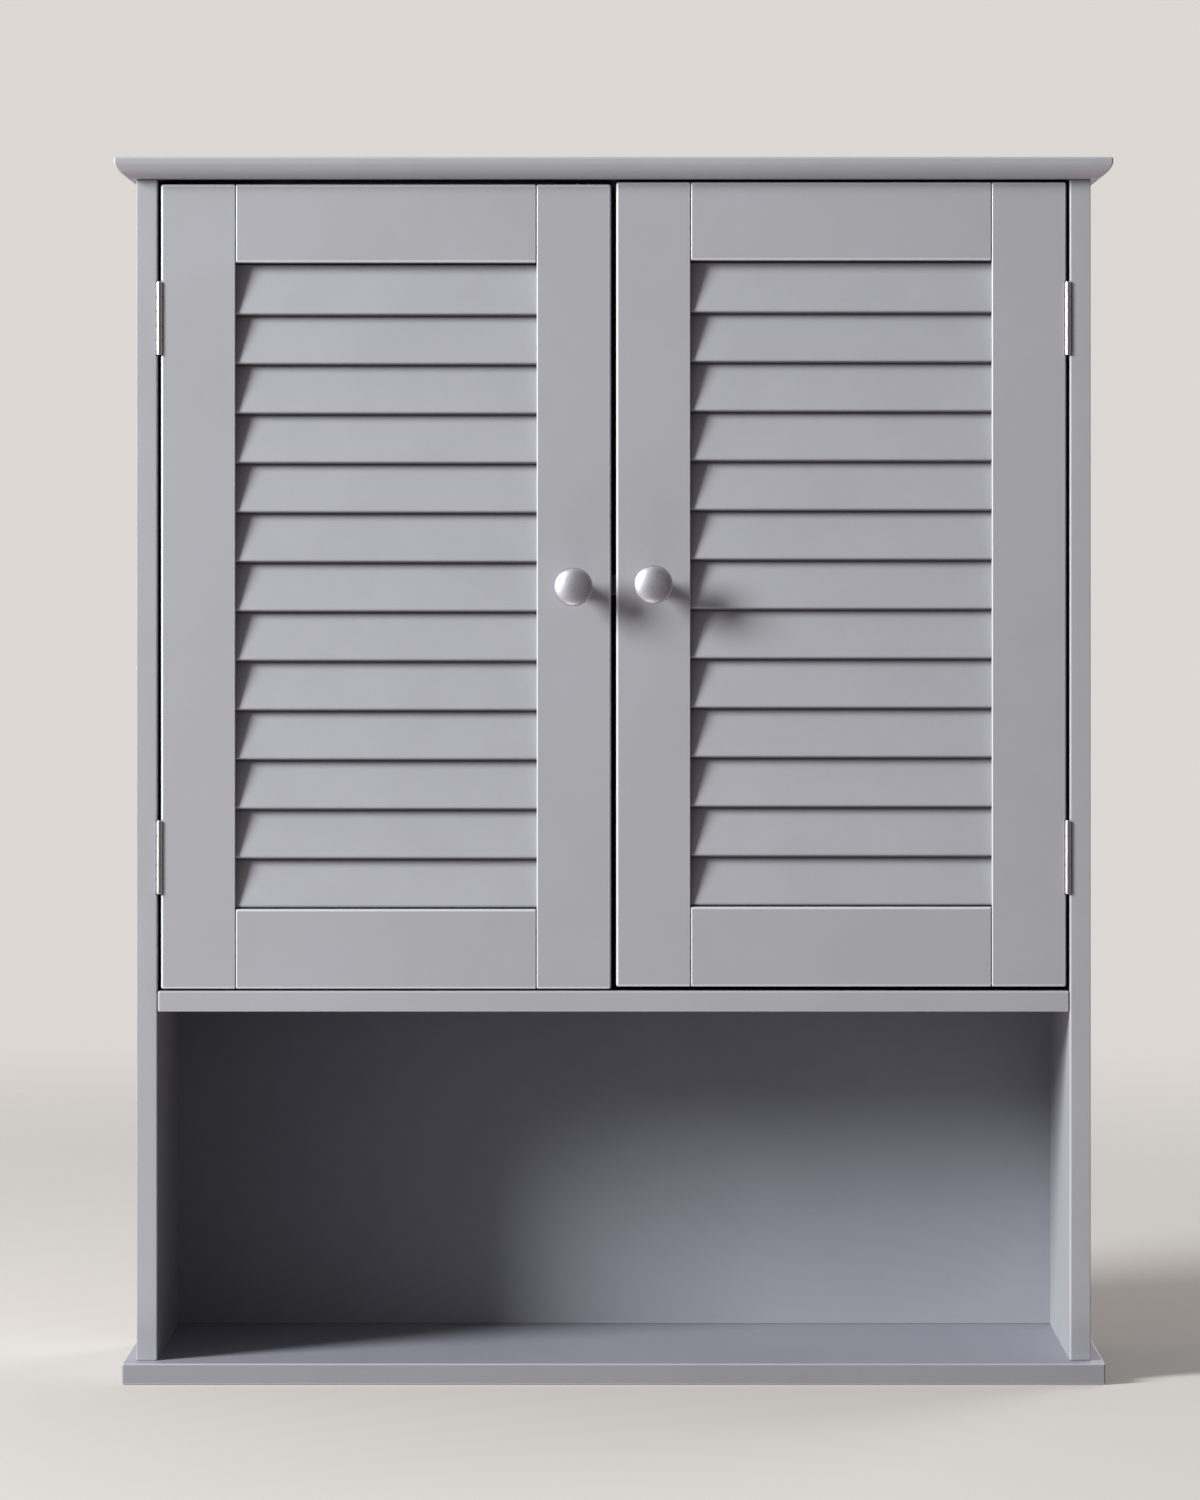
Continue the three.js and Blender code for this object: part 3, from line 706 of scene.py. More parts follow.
def make_piece(
    blank: Blank,
    name: str,
    body: str,
    finishes: Iterable[Finish],
    replaces: Iterable[str] = (),
) -> bpy.types.Object:
    """Turns a worked blank into a piece of the cabinet.

    Args:
        blank: The worked blank, which is used up.
        name: The piece's name.
        body: The moving body that it rides on.
        finishes: The finish of each of its material places.
        replaces: The CAD nodes that it stands for.

    Returns:
        The piece's object, which sits at the origin.

    Raises:
        ValueError: If nothing is left of the blank.
    """
    mesh = blank.to_mesh(name)
    if not mesh.polygons:
        raise ValueError(f"nothing is left of {name}")
    for finish in finishes:
        mesh.materials.append(finish.material)
    mesh.shade_smooth()
    mesh.set_sharp_from_angle(angle=SMOOTH_ANGLE)
    piece = bpy.data.objects.new(name, mesh)
    bpy.context.scene.collection.objects.link(piece)
    flatten = piece.modifiers.new("flat faces stay flat", "WEIGHTED_NORMAL")
    flatten.keep_sharp = True
    flatten.weight = LARGE_FACE_WEIGHT
    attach(piece, body)
    if replaces:
        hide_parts(*replaces)
    LOG.info("%s on %s, %d faces", name, body, len(mesh.polygons))
    return piece


def middle_of(node: str) -> Vector:
    """The middle of a CAD node's box."""
    low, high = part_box(node)
    return (low + high) / 2


@dataclass(frozen=True)
class Screw:
    """A screw's head with its drive, lying on local Z zero and facing up +Z."""

    head_radius: float
    head_height: float
    countersunk: bool
    recess: Recess = Recess.CROSS
    shank_radius: float = 1.2 * MM
    shank_length: float = 6 * MM
    recess_width_share: float = 0.26
    recess_length_share: float = 1.15
    recess_depth_share: float = 0.6
    land_share: float = 0.125
    rim_share: float = 0.25
    crown_share: float = 0.5
    crown_steps: int = 5
    turn_steps: int = 28

    def mesh(self) -> bpy.types.Mesh:
        """Makes the head and a stub of its shank.

        Returns:
            One closed mesh, whose head ends at Z zero when countersunk and starts there when not.
        """
        top = 0.0 if self.countersunk else self.head_height
        seat = -self.head_height if self.countersunk else 0.0
        outline = TurnedOutline(seat - self.shank_length)
        outline.line(self.shank_radius, seat - self.shank_length)
        outline.line(self.shank_radius, seat)
        if self.countersunk:
            outline.line(self.head_radius, top - self.head_height * self.land_share)
            outline.line(self.head_radius, top)
        else:
            outline.line(self.head_radius, seat)
            outline.line(self.head_radius, seat + self.head_height * self.rim_share)
            outline.curve(self.head_radius * self.crown_share, top, False, self.crown_steps)
        outline.line(0.0, top)
        head = Blank()
        head.add_turned(outline, Matrix.Identity(4), self.turn_steps)
        half = Vector((self.recess_length_share, self.recess_width_share, 0)) * self.head_radius / 2
        depth = self.head_height * self.recess_depth_share
        for turn in range(self.recess.value):
            slot = Blank.block(
                Vector((-half.x, -half.y, top - depth)), Vector((half.x, half.y, top + self.head_height))
            )
            slot.move(Matrix.Rotation(turn * math.pi / 2, 4, "Z"))
            head = head.cut(slot)
        return head.to_mesh("screw")

    def place_all(
        self, name: str, body: str, slot: str, finish: Finish, spots: Iterable[tuple[Vector, Vector, float]]
    ) -> bpy.types.Object:
        """Makes one piece of several screws.

        Args:
            name: The piece's name.
            body: The body that it rides on.
            slot: The record's material slot, which is not used.
            finish: The screws' finish.
            spots: For each screw its seat, the way that it faces and the turn of its drive.

        Returns:
            The piece's object.
        """
        master = self.mesh()
        places = [
            Matrix.Translation(seat)
            @ facing.to_track_quat("Z", "Y").to_matrix().to_4x4()
            @ Matrix.Rotation(turn, 4, "Z")
            for seat, facing, turn in spots
        ]
        screws = Blank()
        screws.add_copies(master, places)
        bpy.data.meshes.remove(master)
        return make_piece(screws, name, body, [finish])


@dataclass
class Carcass:
    """The fixed boards: top, bottom, two sides, middle shelf, back panel and hanging rail."""

    body: str = "cabinet"
    arris: float = 1.1 * MM
    moulding: float = 8.65 * MM
    moulding_profile: float = 0.385
    moulding_steps: int = 14
    side_rabbet_width: float = 6 * MM
    outer_arris: float = 0.45 * MM
    panel_arris: float = 0.4 * MM
    end_arris: float = 0.5 * MM
    end_arris_steps: int = 3
    panel_arris_steps: int = 2
    edge_tilt: float = 0.3
    pin_hole_radius: float = 2.5 * MM
    pin_hole_depth: float = 8 * MM
    pin_row_spacing: float = 32 * MM
    pin_rows: int = 3
    hanging_hole_radius: float = 3.1 * MM
    hanging_hole_offset: float = 200 * MM
    hole_steps: int = 40

    def build(self) -> None:
        """Makes every board."""
        self.top_board()
        self.bottom_board()
        self.plain_board("middle_shelf")
        for side in Side:
            self.side_panel(side)
        self.back_panel()
        self.hanging_rail()

    def finished(self, blank: Blank, node: str, finishes: Iterable[Finish] = (CARCASS_LACQUER,)) -> None:
        """Puts a worked board in the place of its CAD node."""
        make_piece(blank, f"finished_{node}", self.body, finishes, [node])

    def top_board(self) -> None:
        """The top board, moulded along its front and both ends, with mitred corners."""
        low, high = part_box("top_board")
        blank = Blank.block(low, high)
        moulded = blank.edges_at(2, low.z) - blank.edges_at(1, high.y)
        blank.round_over(moulded, self.moulding, self.moulding_steps, self.moulding_profile, 0.0)
        against_wall = blank.edges_at(1, high.y)
        blank.round_over(blank.corners() - against_wall, self.arris)
        self.finished(blank, "top_board")

    def plain_board(self, node: str) -> None:
        """A square board with all its arrises eased."""
        blank = Blank.block(*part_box(node))
        blank.round_over(blank.corners(), self.arris)
        self.finished(blank, node)

    def bottom_board(self) -> None:
        """The bottom board, whose edges carry a darker lacquer than its faces."""
        blank = Blank.block(*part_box("bottom_board"))
        blank.round_over(blank.corners(), self.arris)
        blank.mesh.normal_update()
        for face in blank.mesh.faces:
            face.material_index = int(abs(face.normal.z) < self.edge_tilt)
        # Its top and underside take the darker, bluer tint that paints the shade and cool light of the bay
        self.finished(blank, "bottom_board", [BAY_FLOOR_LACQUER, EDGE_LACQUER])

    def side_panel(self, side: Side) -> None:
        """A side with a rabbet for the back panel, rows of pin holes and the barrels' recesses."""
        node = f"{side.label}_side_panel"
        low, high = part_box(node)
        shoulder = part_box("back_panel")[0].y
        inner_x, outer_x = (high.x, low.x) if side is Side.LEFT else (low.x, high.x)
        rabbet_x = outer_x - side.value * self.side_rabbet_width
        blank = Blank.block(low, Vector((high.x, shoulder, high.z)))
        blank.split(AXIS_X * rabbet_x, AXIS_X)
        tongue = blank.face_facing(AXIS_Y, Vector((outer_x, shoulder, 0)))
        blank.draw_out(tongue, Vector((0, high.y - shoulder, 0)))
        outer = blank.edges_at(0, outer_x) & blank.edges_along(2)
        blank.round_over(blank.corners() & outer, self.outer_arris, wear_and_highlight=0.0)
        blank.round_over(blank.corners() & blank.edges_along(2), self.arris)
        for end in (low.z, high.z):
            front = {
                edge
                for edge in blank.edges_at(2, end)
                if all(vert.co.y < low.y + 2 * self.arris for vert in edge.verts)
            }
            blank.round_over(front, self.end_arris, self.end_arris_steps, wear_and_highlight=0.0)
        holes = Blank()
        for row in ("front", "rear"):
            pin = middle_of(f"shelf_pin_{side.label}_{row}")
            for step in range(self.pin_rows):
                rise = (step - (self.pin_rows - 1) / 2) * self.pin_row_spacing
                centre = Vector((inner_x, pin.y, pin.z + rise))
                holes.add_cylinder(
                    centre, AXIS_X, self.pin_hole_radius, 2 * self.pin_hole_depth, self.hole_steps
                )
        for level in Level:
            ButtHinge(side, level).cut_recess(holes)
        self.finished(blank.cut(holes), node)

    def hanging_holes(self, low: Vector, high: Vector) -> Blank:
        """The two holes for the hanging screws, through whatever lies between two corners."""
        holes = Blank()
        for side in Side:
            centre = Vector((side.value * self.hanging_hole_offset, (low.y + high.y) / 2, 0))
            holes.add_cylinder(
                centre, AXIS_Y, self.hanging_hole_radius, 2 * (high.y - low.y), self.hole_steps
            )
        return holes

    def back_panel(self) -> None:
        """The thin back, lacquered on its face and bare on its rear."""
        low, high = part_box("back_panel")
        blank = Blank.block(low, high)
        blank.round_over(blank.corners(), self.panel_arris, self.panel_arris_steps)
        blank = blank.cut(self.hanging_holes(low, high))
        for face in blank.mesh.faces:
            face.material_index = int(face.calc_center_median().y > low.y + self.panel_arris)
        self.finished(blank, "back_panel", [PANEL_LACQUER, BARE_BOARD])

    def hanging_rail(self) -> None:
        """The rail under the top board that the cabinet hangs by."""
        low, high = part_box("hanging_rail")
        blank = Blank.block(low, high)
        blank.round_over(blank.corners() & blank.edges_along(0), self.arris)
        self.finished(blank.cut(self.hanging_holes(low, high)), "hanging_rail")


@dataclass
class Shelf:
    """The adjustable shelf and the four turned pins that carry it."""

    arris: float = 1.1 * MM
    pin_radius: float = 2.3 * MM
    collar_radius: float = 3.5 * MM
    collar_thickness: float = 1.2 * MM
    head_length: float = 7 * MM
    head_round: float = 0.8 * MM
    head_steps: int = 4
    turn_steps: int = 40

    def build(self) -> None:
        """Makes the shelf and its pins."""
        board = Blank.block(*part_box("adjustable_shelf"))
        board.round_over(board.corners(), self.arris)
        make_piece(
            board,
            "finished_adjustable_shelf",
            "adjustable_shelf",
            [CARCASS_LACQUER],
            ["adjustable_shelf"],
        )
        for side in Side:
            for row in ("front", "rear"):
                self.pin(side, row)

    def pin(self, side: Side, row: str) -> None:
        """Makes one pin, with its shank in the side and its round head inwards."""
        node = f"shelf_pin_{side.label}_{row}"
        low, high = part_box(node)
        length = high.x - low.x
        collar_end = length - self.head_length
        outline = TurnedOutline(0.0)
        outline.line(self.pin_radius - self.head_round, 0.0)
        outline.line(self.pin_radius, self.head_round)
        outline.line(self.pin_radius, collar_end - self.collar_thickness)
        outline.line(self.collar_radius, collar_end - self.collar_thickness)
        outline.line(self.collar_radius, collar_end)
        outline.line(self.pin_radius, collar_end)
        outline.line(self.pin_radius, length - self.head_round)
        outline.curve(self.pin_radius - self.head_round, length, False, self.head_steps)
        outline.line(0.0, length)
        end_x = low.x if side is Side.LEFT else high.x
        place = Matrix.Translation((end_x, (low.y + high.y) / 2, (low.z + high.z) / 2))
        turn = Matrix.Rotation(-side.value * math.pi / 2, 4, "Y")
        blank = Blank()
        blank.add_turned(outline, place @ turn, self.turn_steps)
        make_piece(blank, f"turned_{node}", "cabinet", [ZINC_PLATE], [node])


@dataclass
class LouvredDoor:
    """One door: two stiles, two rails with stub tenons, louvre slats, knob and strike plate."""

    side: Side
    arris: float = 1.3 * MM
    inner_arris: float = 0.7 * MM
    slat_count: int = 13
    slat_thickness: float = 4.5 * MM
    slat_edge: float = 1.5 * MM
    slat_edge_steps: int = 8
    shade_margin: float = 0.3 * MM
    shade_fade: float = 1.3 * MM
    shade_tilt: float = 0.3
    mortise_clearance: float = 0.12 * MM
    tenon_thickness: float = 5 * MM
    tenon_shoulder: float = 8 * MM
    shoulder_gap: float = 0.35 * MM
    screw_hole_radius: float = 2.3 * MM
    hole_steps: int = 32
    plate_round: float = 0.3 * MM
    plate_round_steps: int = 2
    strike_screw: Screw = Screw(2.4 * MM, 1.1 * MM, countersunk=True)
    strike_screw_turn: float = 0.4
    strike_screw_clearance: float = 0.15 * MM

    @property
    def body(self) -> str:
        """The moving body that the door's pieces ride on."""
        return f"{self.side.label}_door"

    def node(self, piece: str) -> str:
        """The CAD node of one of the door's pieces."""
        return f"{self.body}_{piece}"

    def build(self) -> None:
        """Makes the door."""
        self.stile("hinge_stile")
        self.stile("meeting_stile")
        self.rail("top_rail")
        self.rail("bottom_rail")
        covers = [*self.slat_nodes()[1:], self.node("top_rail")]
        for node, cover in zip(self.slat_nodes(), covers):
            slat = self.slat_blank(node, 0.0)
            # Paints shade into the crevice behind the slat above and onto the slat's underside
            self.painted_crevice_shade(slat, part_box(cover)[0].z)
            make_piece(slat, f"finished_{node}", self.body, [SLAT_LACQUER], [node])
        Knob(self).build()
        self.strike_plate()

    def slat_nodes(self) -> list[str]:
        """The CAD nodes of the slats, from the lowest up."""
        return [self.node(f"slat_{number:02d}") for number in range(1, self.slat_count + 1)]

    def slat_blank(self, node: str, grow: float) -> Blank:
        """One slat, or with a clearance the mortise that it sits in.

        Args:
            node: The slat's CAD node.
            grow: How much larger than the slat it is on each side.

        Returns:
            A rounded board that leans back as the CAD slat does.
        """
        low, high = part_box(node)
        broad = max(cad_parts[node].data.polygons, key=lambda polygon: polygon.area)
        lean = math.atan2(abs(broad.normal.z), abs(broad.normal.y))
        core = self.slat_thickness - 2 * self.slat_edge
        rise = high.z - low.z - 2 * self.slat_edge - core * math.sin(lean)
        width = rise / math.cos(lean) + 2 * self.slat_edge
        half = Vector((high.x - low.x, self.slat_thickness, width)) / 2 + Vector((grow, grow, grow))
        blank = Blank.block(-half, half)
        blank.round_over(blank.edges_along(0), self.slat_edge + grow, self.slat_edge_steps, wear_and_highlight=0.0)
        blank.move(Matrix.Translation((low + high) / 2) @ Matrix.Rotation(-lean, 4, "X"))
        return blank

    def painted_crevice_shade(self, slat: Blank, cover_z: float) -> None:
        """Marks painted shade on a slat: behind the one above and underneath.

        Args:
            slat: The worked slat in its place.
            cover_z: The height of the lowest point of what covers its top.
        """
        covered = cover_z - self.shade_margin
        for height in (covered, covered - self.shade_fade):
            slat.split(AXIS_Z * height, AXIS_Z)
        slat.mesh.normal_update()
        # The layer holds painted shade: full behind the slat above, fading below it, and on down-facing
        # faces
        thin = slat.mesh.verts.layers.float.new(CREVICE_SHADE)
        for vert in slat.mesh.verts:
            underside = (-vert.normal.z - self.shade_tilt) / self.shade_tilt
            vert[thin] = 1.0 if vert.co.z > covered - TOLERANCE else min(max(underside, 0.0), 1.0)

    def stile(self, piece: str) -> None:
        """A stile with the slats' slanted mortises and the rails' square ones."""
        node = self.node(piece)
        low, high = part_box(node)
        blank = Blank.block(low, high)
        louvre_x = high.x if (piece == "hinge_stile") == (self.side is Side.LEFT) else low.x
        blank.round_over(blank.corners() - blank.edges_at(0, louvre_x), self.arris)
        blank.round_over(blank.corners(), self.inner_arris)
        tool = Blank()
        for slat in self.slat_nodes():
            part = self.slat_blank(slat, self.mortise_clearance).to_mesh("mortise")
            tool.add_copies(part, [Matrix.Identity(4)])
            bpy.data.meshes.remove(part)
        for rail in ("top_rail", "bottom_rail"):
            tenon_low, tenon_high = self.tenon_box(rail)
            grow = Vector((1, 1, 1)) * self.mortise_clearance
            tool.add_block(tenon_low - grow, tenon_high + grow)
        if piece == "meeting_stile":
            screw = middle_of(self.node("knob"))
            centre = Vector((screw.x, (low.y + high.y) / 2, screw.z))
            through = 2 * (high.y - low.y)
            tool.add_cylinder(centre, AXIS_Y, self.screw_hole_radius, through, self.hole_steps)
        else:
            for level in Level:
                ButtHinge(self.side, level).cut_recess(tool)
        make_piece(blank.cut(tool), f"finished_{node}", self.body, [DOOR_LACQUER], [node])

    def tenon_box(self, piece: str) -> tuple[Vector, Vector]:
        """The corners of a rail's two tenons taken as one bar through the rail."""
        low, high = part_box(self.node(piece))
        middle = (low.y + high.y) / 2
        half = self.tenon_thickness / 2
        return (
            Vector((low.x, middle - half, low.z + self.tenon_shoulder)),
            Vector((high.x, middle + half, high.z - self.tenon_shoulder)),
        )

    def rail(self, piece: str) -> None:
        """A rail between the stiles, with a stub tenon drawn out of each end."""
        node = self.node(piece)
        low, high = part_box(node)
        stiles = [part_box(self.node(name)) for name in ("hinge_stile", "meeting_stile")]
        left_x = min(box[1].x for box in stiles) + self.shoulder_gap
        right_x = max(box[0].x for box in stiles) - self.shoulder_gap
        blank = Blank.block(Vector((left_x, low.y, low.z)), Vector((right_x, high.y, high.z)))
        blank.round_over(blank.edges_along(0), self.arris)
        blank.round_over(blank.corners(), self.inner_arris)
        tenon_low, tenon_high = self.tenon_box(piece)
        size = tenon_high - tenon_low
        for end_x, direction in ((left_x, -AXIS_X), (right_x, AXIS_X)):
            centre = Vector((end_x, (low.y + high.y) / 2, (low.z + high.z) / 2))
            end = blank.face_facing(direction, centre)
            bmesh.ops.inset_individual(blank.mesh, faces=[end], thickness=self.inner_arris)
            spans = [max(v.co[i] for v in end.verts) - min(v.co[i] for v in end.verts) for i in (1, 2)]
            bmesh.ops.scale(
                blank.mesh,
                vec=(1, size.y / spans[0], size.z / spans[1]),
                space=Matrix.Translation(-centre),
                verts=end.verts,
            )
            length = end_x - tenon_low.x if direction.x < 0 else tenon_high.x - end_x
            blank.draw_out(end, direction * length)
        make_piece(blank, f"finished_{node}", self.body, [DOOR_LACQUER], [node])

    def strike_plate(self) -> None:
        """The steel plate on the door's back that the catch holds, with its screw."""
        node = self.node("strike_plate")
        low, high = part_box(node)
        plate = Blank.block(low, high)
        plate.round_over(plate.corners(), self.plate_round, self.plate_round_steps)
        centre = (low + high) / 2
        sink = Blank()
        radius = self.strike_screw.head_radius + self.strike_screw_clearance
        sink.add_cylinder(centre, AXIS_Y, radius, 2 * (high.y - low.y), self.hole_steps)
        make_piece(plate.cut(sink), f"pressed_{node}", self.body, [ZINC_PLATE], [node])
        spot = (Vector((centre.x, high.y, centre.z)), AXIS_Y, self.strike_screw_turn)
        self.strike_screw.place_all(
            f"{self.body}_strike_screw", self.body, "strike_plate", ZINC_PLATE, [spot]
        )


@dataclass
class Knob:
    """A turned knob with a domed head on a waisted neck, and the screw that holds it."""

    door: LouvredDoor
    head_radius: float = 11 * MM
    projection: float = 24.5 * MM
    dome_height: float = 3.8 * MM
    rim_height: float = 3.6 * MM
    base_radius: float = 6 * MM
    base_height: float = 1.5 * MM
    base_round: float = 0.4 * MM
    neck_radius: float = 4.6 * MM
    neck_height: float = 5.5 * MM
    screw_radius: float = 2 * MM
    screw_head_radius: float = 4 * MM
    screw_head_height: float = 2 * MM
    screw_turn: float = 0.6
    turn_steps: int = 96
    round_steps: int = 3
    neck_steps: int = 6
    flare_steps: int = 8
    rim_steps: int = 4
    dome_steps: int = 20

    def build(self) -> None:
        """Makes the knob and its screw."""
        node = self.door.node("knob")
        low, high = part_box(node)
        stile_low, stile_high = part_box(self.door.node("meeting_stile"))
        seat = Vector(((low.x + high.x) / 2, low.y + self.projection, (low.z + high.z) / 2))
        place = Matrix.Translation(seat) @ Matrix.Rotation(math.pi / 2, 4, "X")
        blank = Blank()
        blank.add_turned(self.outline(), place, self.turn_steps)
        make_piece(blank, f"turned_{node}", self.door.body, [BLASTED_ALUMINIUM], [node])
        back = Vector((seat.x, stile_high.y, seat.z))
        screw = Screw(
            self.screw_head_radius,
            self.screw_head_height,
            countersunk=False,
            shank_radius=self.screw_radius,
            shank_length=stile_high.y - stile_low.y,
        )
        body = self.door.body
        screw.place_all(f"{body}_knob_screw", body, "knob", ZINC_PLATE, [(back, AXIS_Y, self.screw_turn)])

    def outline(self) -> TurnedOutline:
        """The knob's half outline, from its seat on the door to the crown of its dome."""
        dome_foot = self.projection - self.dome_height
        rim_foot = dome_foot - self.rim_height
        outline = TurnedOutline(0.0)
        outline.line(self.base_radius - self.base_round, 0.0)
        outline.curve(self.base_radius, self.base_round, True, self.round_steps)
        outline.line(self.base_radius, self.base_height - self.base_round)
        outline.curve(self.base_radius - self.base_round, self.base_height, False, self.round_steps)
        outline.curve(self.neck_radius, self.neck_height, True, self.neck_steps)
        outline.curve(self.head_radius - self.rim_height / 2, rim_foot, False, self.flare_steps)
        outline.curve(self.head_radius, rim_foot + self.rim_height / 2, True, self.rim_steps)
        outline.line(self.head_radius, dome_foot)
        outline.curve(0.0, self.projection, False, self.dome_steps)
        return outline


@dataclass
class ButtHinge:
    """A small butt hinge: two leaves with rolled knuckles, a pin and four screws."""

    side: Side
    level: Level
    sheet: float = 0.8 * MM
    plate_offset: float = 0.5 * MM
    barrel_radius: float = 1.75 * MM
    clearance: float = 0.3 * MM
    tip_height: float = 0.5 * MM
    tip_radius: float = 1.4 * MM
    pin_radius: float = 0.92 * MM
    knuckles: int = 5
    knuckle_gap: float = 0.36 * MM
    roll: float = math.radians(255)
    roll_steps: int = 26
    crank_steps: int = 4
    plate_round: float = 0.18 * MM
    plate_round_steps: int = 2
    screw: Screw = Screw(2.4 * MM, 0.75 * MM, countersunk=True)
    screw_spacing: float = 26 * MM
    screw_clearance: float = 0.12 * MM
    screw_turns: tuple[float, float] = (0.3, 0.8)
    recess_steps: int = 40
    turn_steps: int = 32
    tip_steps: int = 5

    def __post_init__(self) -> None:
        """Measures the hinge on its frame leaf, which carries the pin."""
        low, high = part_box(f"{self.name}_frame_leaf")
        self.axis = Vector(((low.x + high.x) / 2, low.y + self.barrel_radius, 0))
        self.foot = low.z + self.tip_height
        self.height = high.z - low.z - 2 * self.tip_height
        self.depth = high.y - self.axis.y - self.barrel_radius - self.clearance

    @property
    def name(self) -> str:
        """The hinge's name as the nodes spell it."""
        return f"{self.side.label}_{self.level.value}_hinge"

    def cut_recess(self, tool: Blank) -> None:
        """Adds the recess that the barrel turns in to what is cut from a board."""
        centre = self.axis + AXIS_Z * (self.foot + self.height / 2)
        length = self.height + 2 * (self.tip_height + self.clearance)
        tool.add_cylinder(
            centre, AXIS_Z, self.barrel_radius + self.clearance, length, self.recess_steps
        )

    def build(self) -> None:
        """Makes both leaves, the pin and the screws."""
        self.leaf("frame_leaf", self.side.value, 0, "cabinet")
        self.leaf("door_leaf", -self.side.value, 1, f"{self.side.label}_door")
        self.pin()

    def leaf(self, leaf_name: str, hand: int, first: int, body: str) -> None:
        """One leaf, whose sheet is cranked out to the barrel and rolled round the pin.

        Args:
            leaf_name: The leaf's part of its node's name.
            hand: The sign of the X side that its plate lies on.
            first: The first of its knuckles, of which it has every other one.
            body: The body that it rides on.
        """
        plate_start = self.barrel_radius + self.clearance
        pitch = self.height / self.knuckles
        half = self.sheet / 2
        blank = Blank.block(
            Vector((self.plate_offset - half, plate_start, 0)),
            Vector((self.plate_offset + half, plate_start + self.depth, self.height)),
        )
        plate_end = blank.edges_at(1, plate_start + self.depth)
        blank.round_over(plate_end, self.plate_round, self.plate_round_steps)
        for boundary in range(1, self.knuckles):
            for shift in (-self.knuckle_gap / 2, self.knuckle_gap / 2):
                blank.split(AXIS_Z * (boundary * pitch + shift), AXIS_Z)
        for index in range(first, self.knuckles, 2):
            middle = Vector((self.plate_offset, plate_start, (index + 0.5) * pitch))
            self.roll_knuckle(blank, blank.face_facing(-AXIS_Y, middle))
        seats = [
            Vector((self.plate_offset - half, plate_start + self.depth / 2, self.height / 2 + rise))
            for rise in (-self.screw_spacing / 2, self.screw_spacing / 2)
        ]
        holes = Blank()
        radius = self.screw.head_radius + self.screw_clearance
        for seat in seats:
            holes.add_cylinder(seat, AXIS_X, radius, 4 * self.sheet, self.turn_steps)
        blank = blank.cut(holes)
        place = Matrix.Translation(self.axis + AXIS_Z * self.foot) @ Matrix.Diagonal((hand, 1, 1, 1))
        blank.move(place)
        node = f"{self.name}_{leaf_name}"
        make_piece(blank, f"pressed_{node}", body, [NICKEL_PLATE], [node])
        spots = [(place @ seat, -AXIS_X * hand, turn) for seat, turn in zip(seats, self.screw_turns)]
        self.screw.place_all(f"{node}_screws", body, "hinge", NICKEL_PLATE, spots)

    def roll_knuckle(self, blank: Blank, face: bmesh.types.BMFace) -> None:
        """Draws one knuckle's sheet forward, out to the barrel's skin and round the pin."""
        crank = self.barrel_radius - self.sheet / 2 - self.plate_offset
        reach = self.barrel_radius + self.clearance
        shares = [step / self.crank_steps for step in range(self.crank_steps + 1)]
        eased = [share * share * (3 - 2 * share) for share in shares]
        for before, after in zip(eased, eased[1:]):
            face = blank.draw_out(face, Vector((crank * (after - before), -reach / self.crank_steps, 0)))
        bmesh.ops.spin(
            blank.mesh,
            geom=[face],
            cent=(0, 0, 0),
            axis=(0, 0, 1),
            angle=-self.roll,
            steps=self.roll_steps,
            use_duplicate=False,
        )
        bmesh.ops.delete(blank.mesh, geom=[face], context="FACES_ONLY")

    def pin(self) -> None:
        """The pin, peened over at both ends."""
        outline = TurnedOutline(-self.tip_height)
        outline.curve(self.tip_radius, 0.0, True, self.tip_steps)
        outline.line(self.tip_radius, self.knuckle_gap / 2)
        outline.line(self.pin_radius, self.knuckle_gap / 2)
        outline.line(self.pin_radius, self.height - self.knuckle_gap / 2)
        outline.line(self.tip_radius, self.height - self.knuckle_gap / 2)
        outline.line(self.tip_radius, self.height)
        outline.curve(0.0, self.height + self.tip_height, False, self.tip_steps)
        blank = Blank()
        place = Matrix.Translation(self.axis + AXIS_Z * self.foot)
        blank.add_turned(outline, place, self.turn_steps)
        make_piece(blank, f"{self.name}_pin", "cabinet", [NICKEL_PLATE])


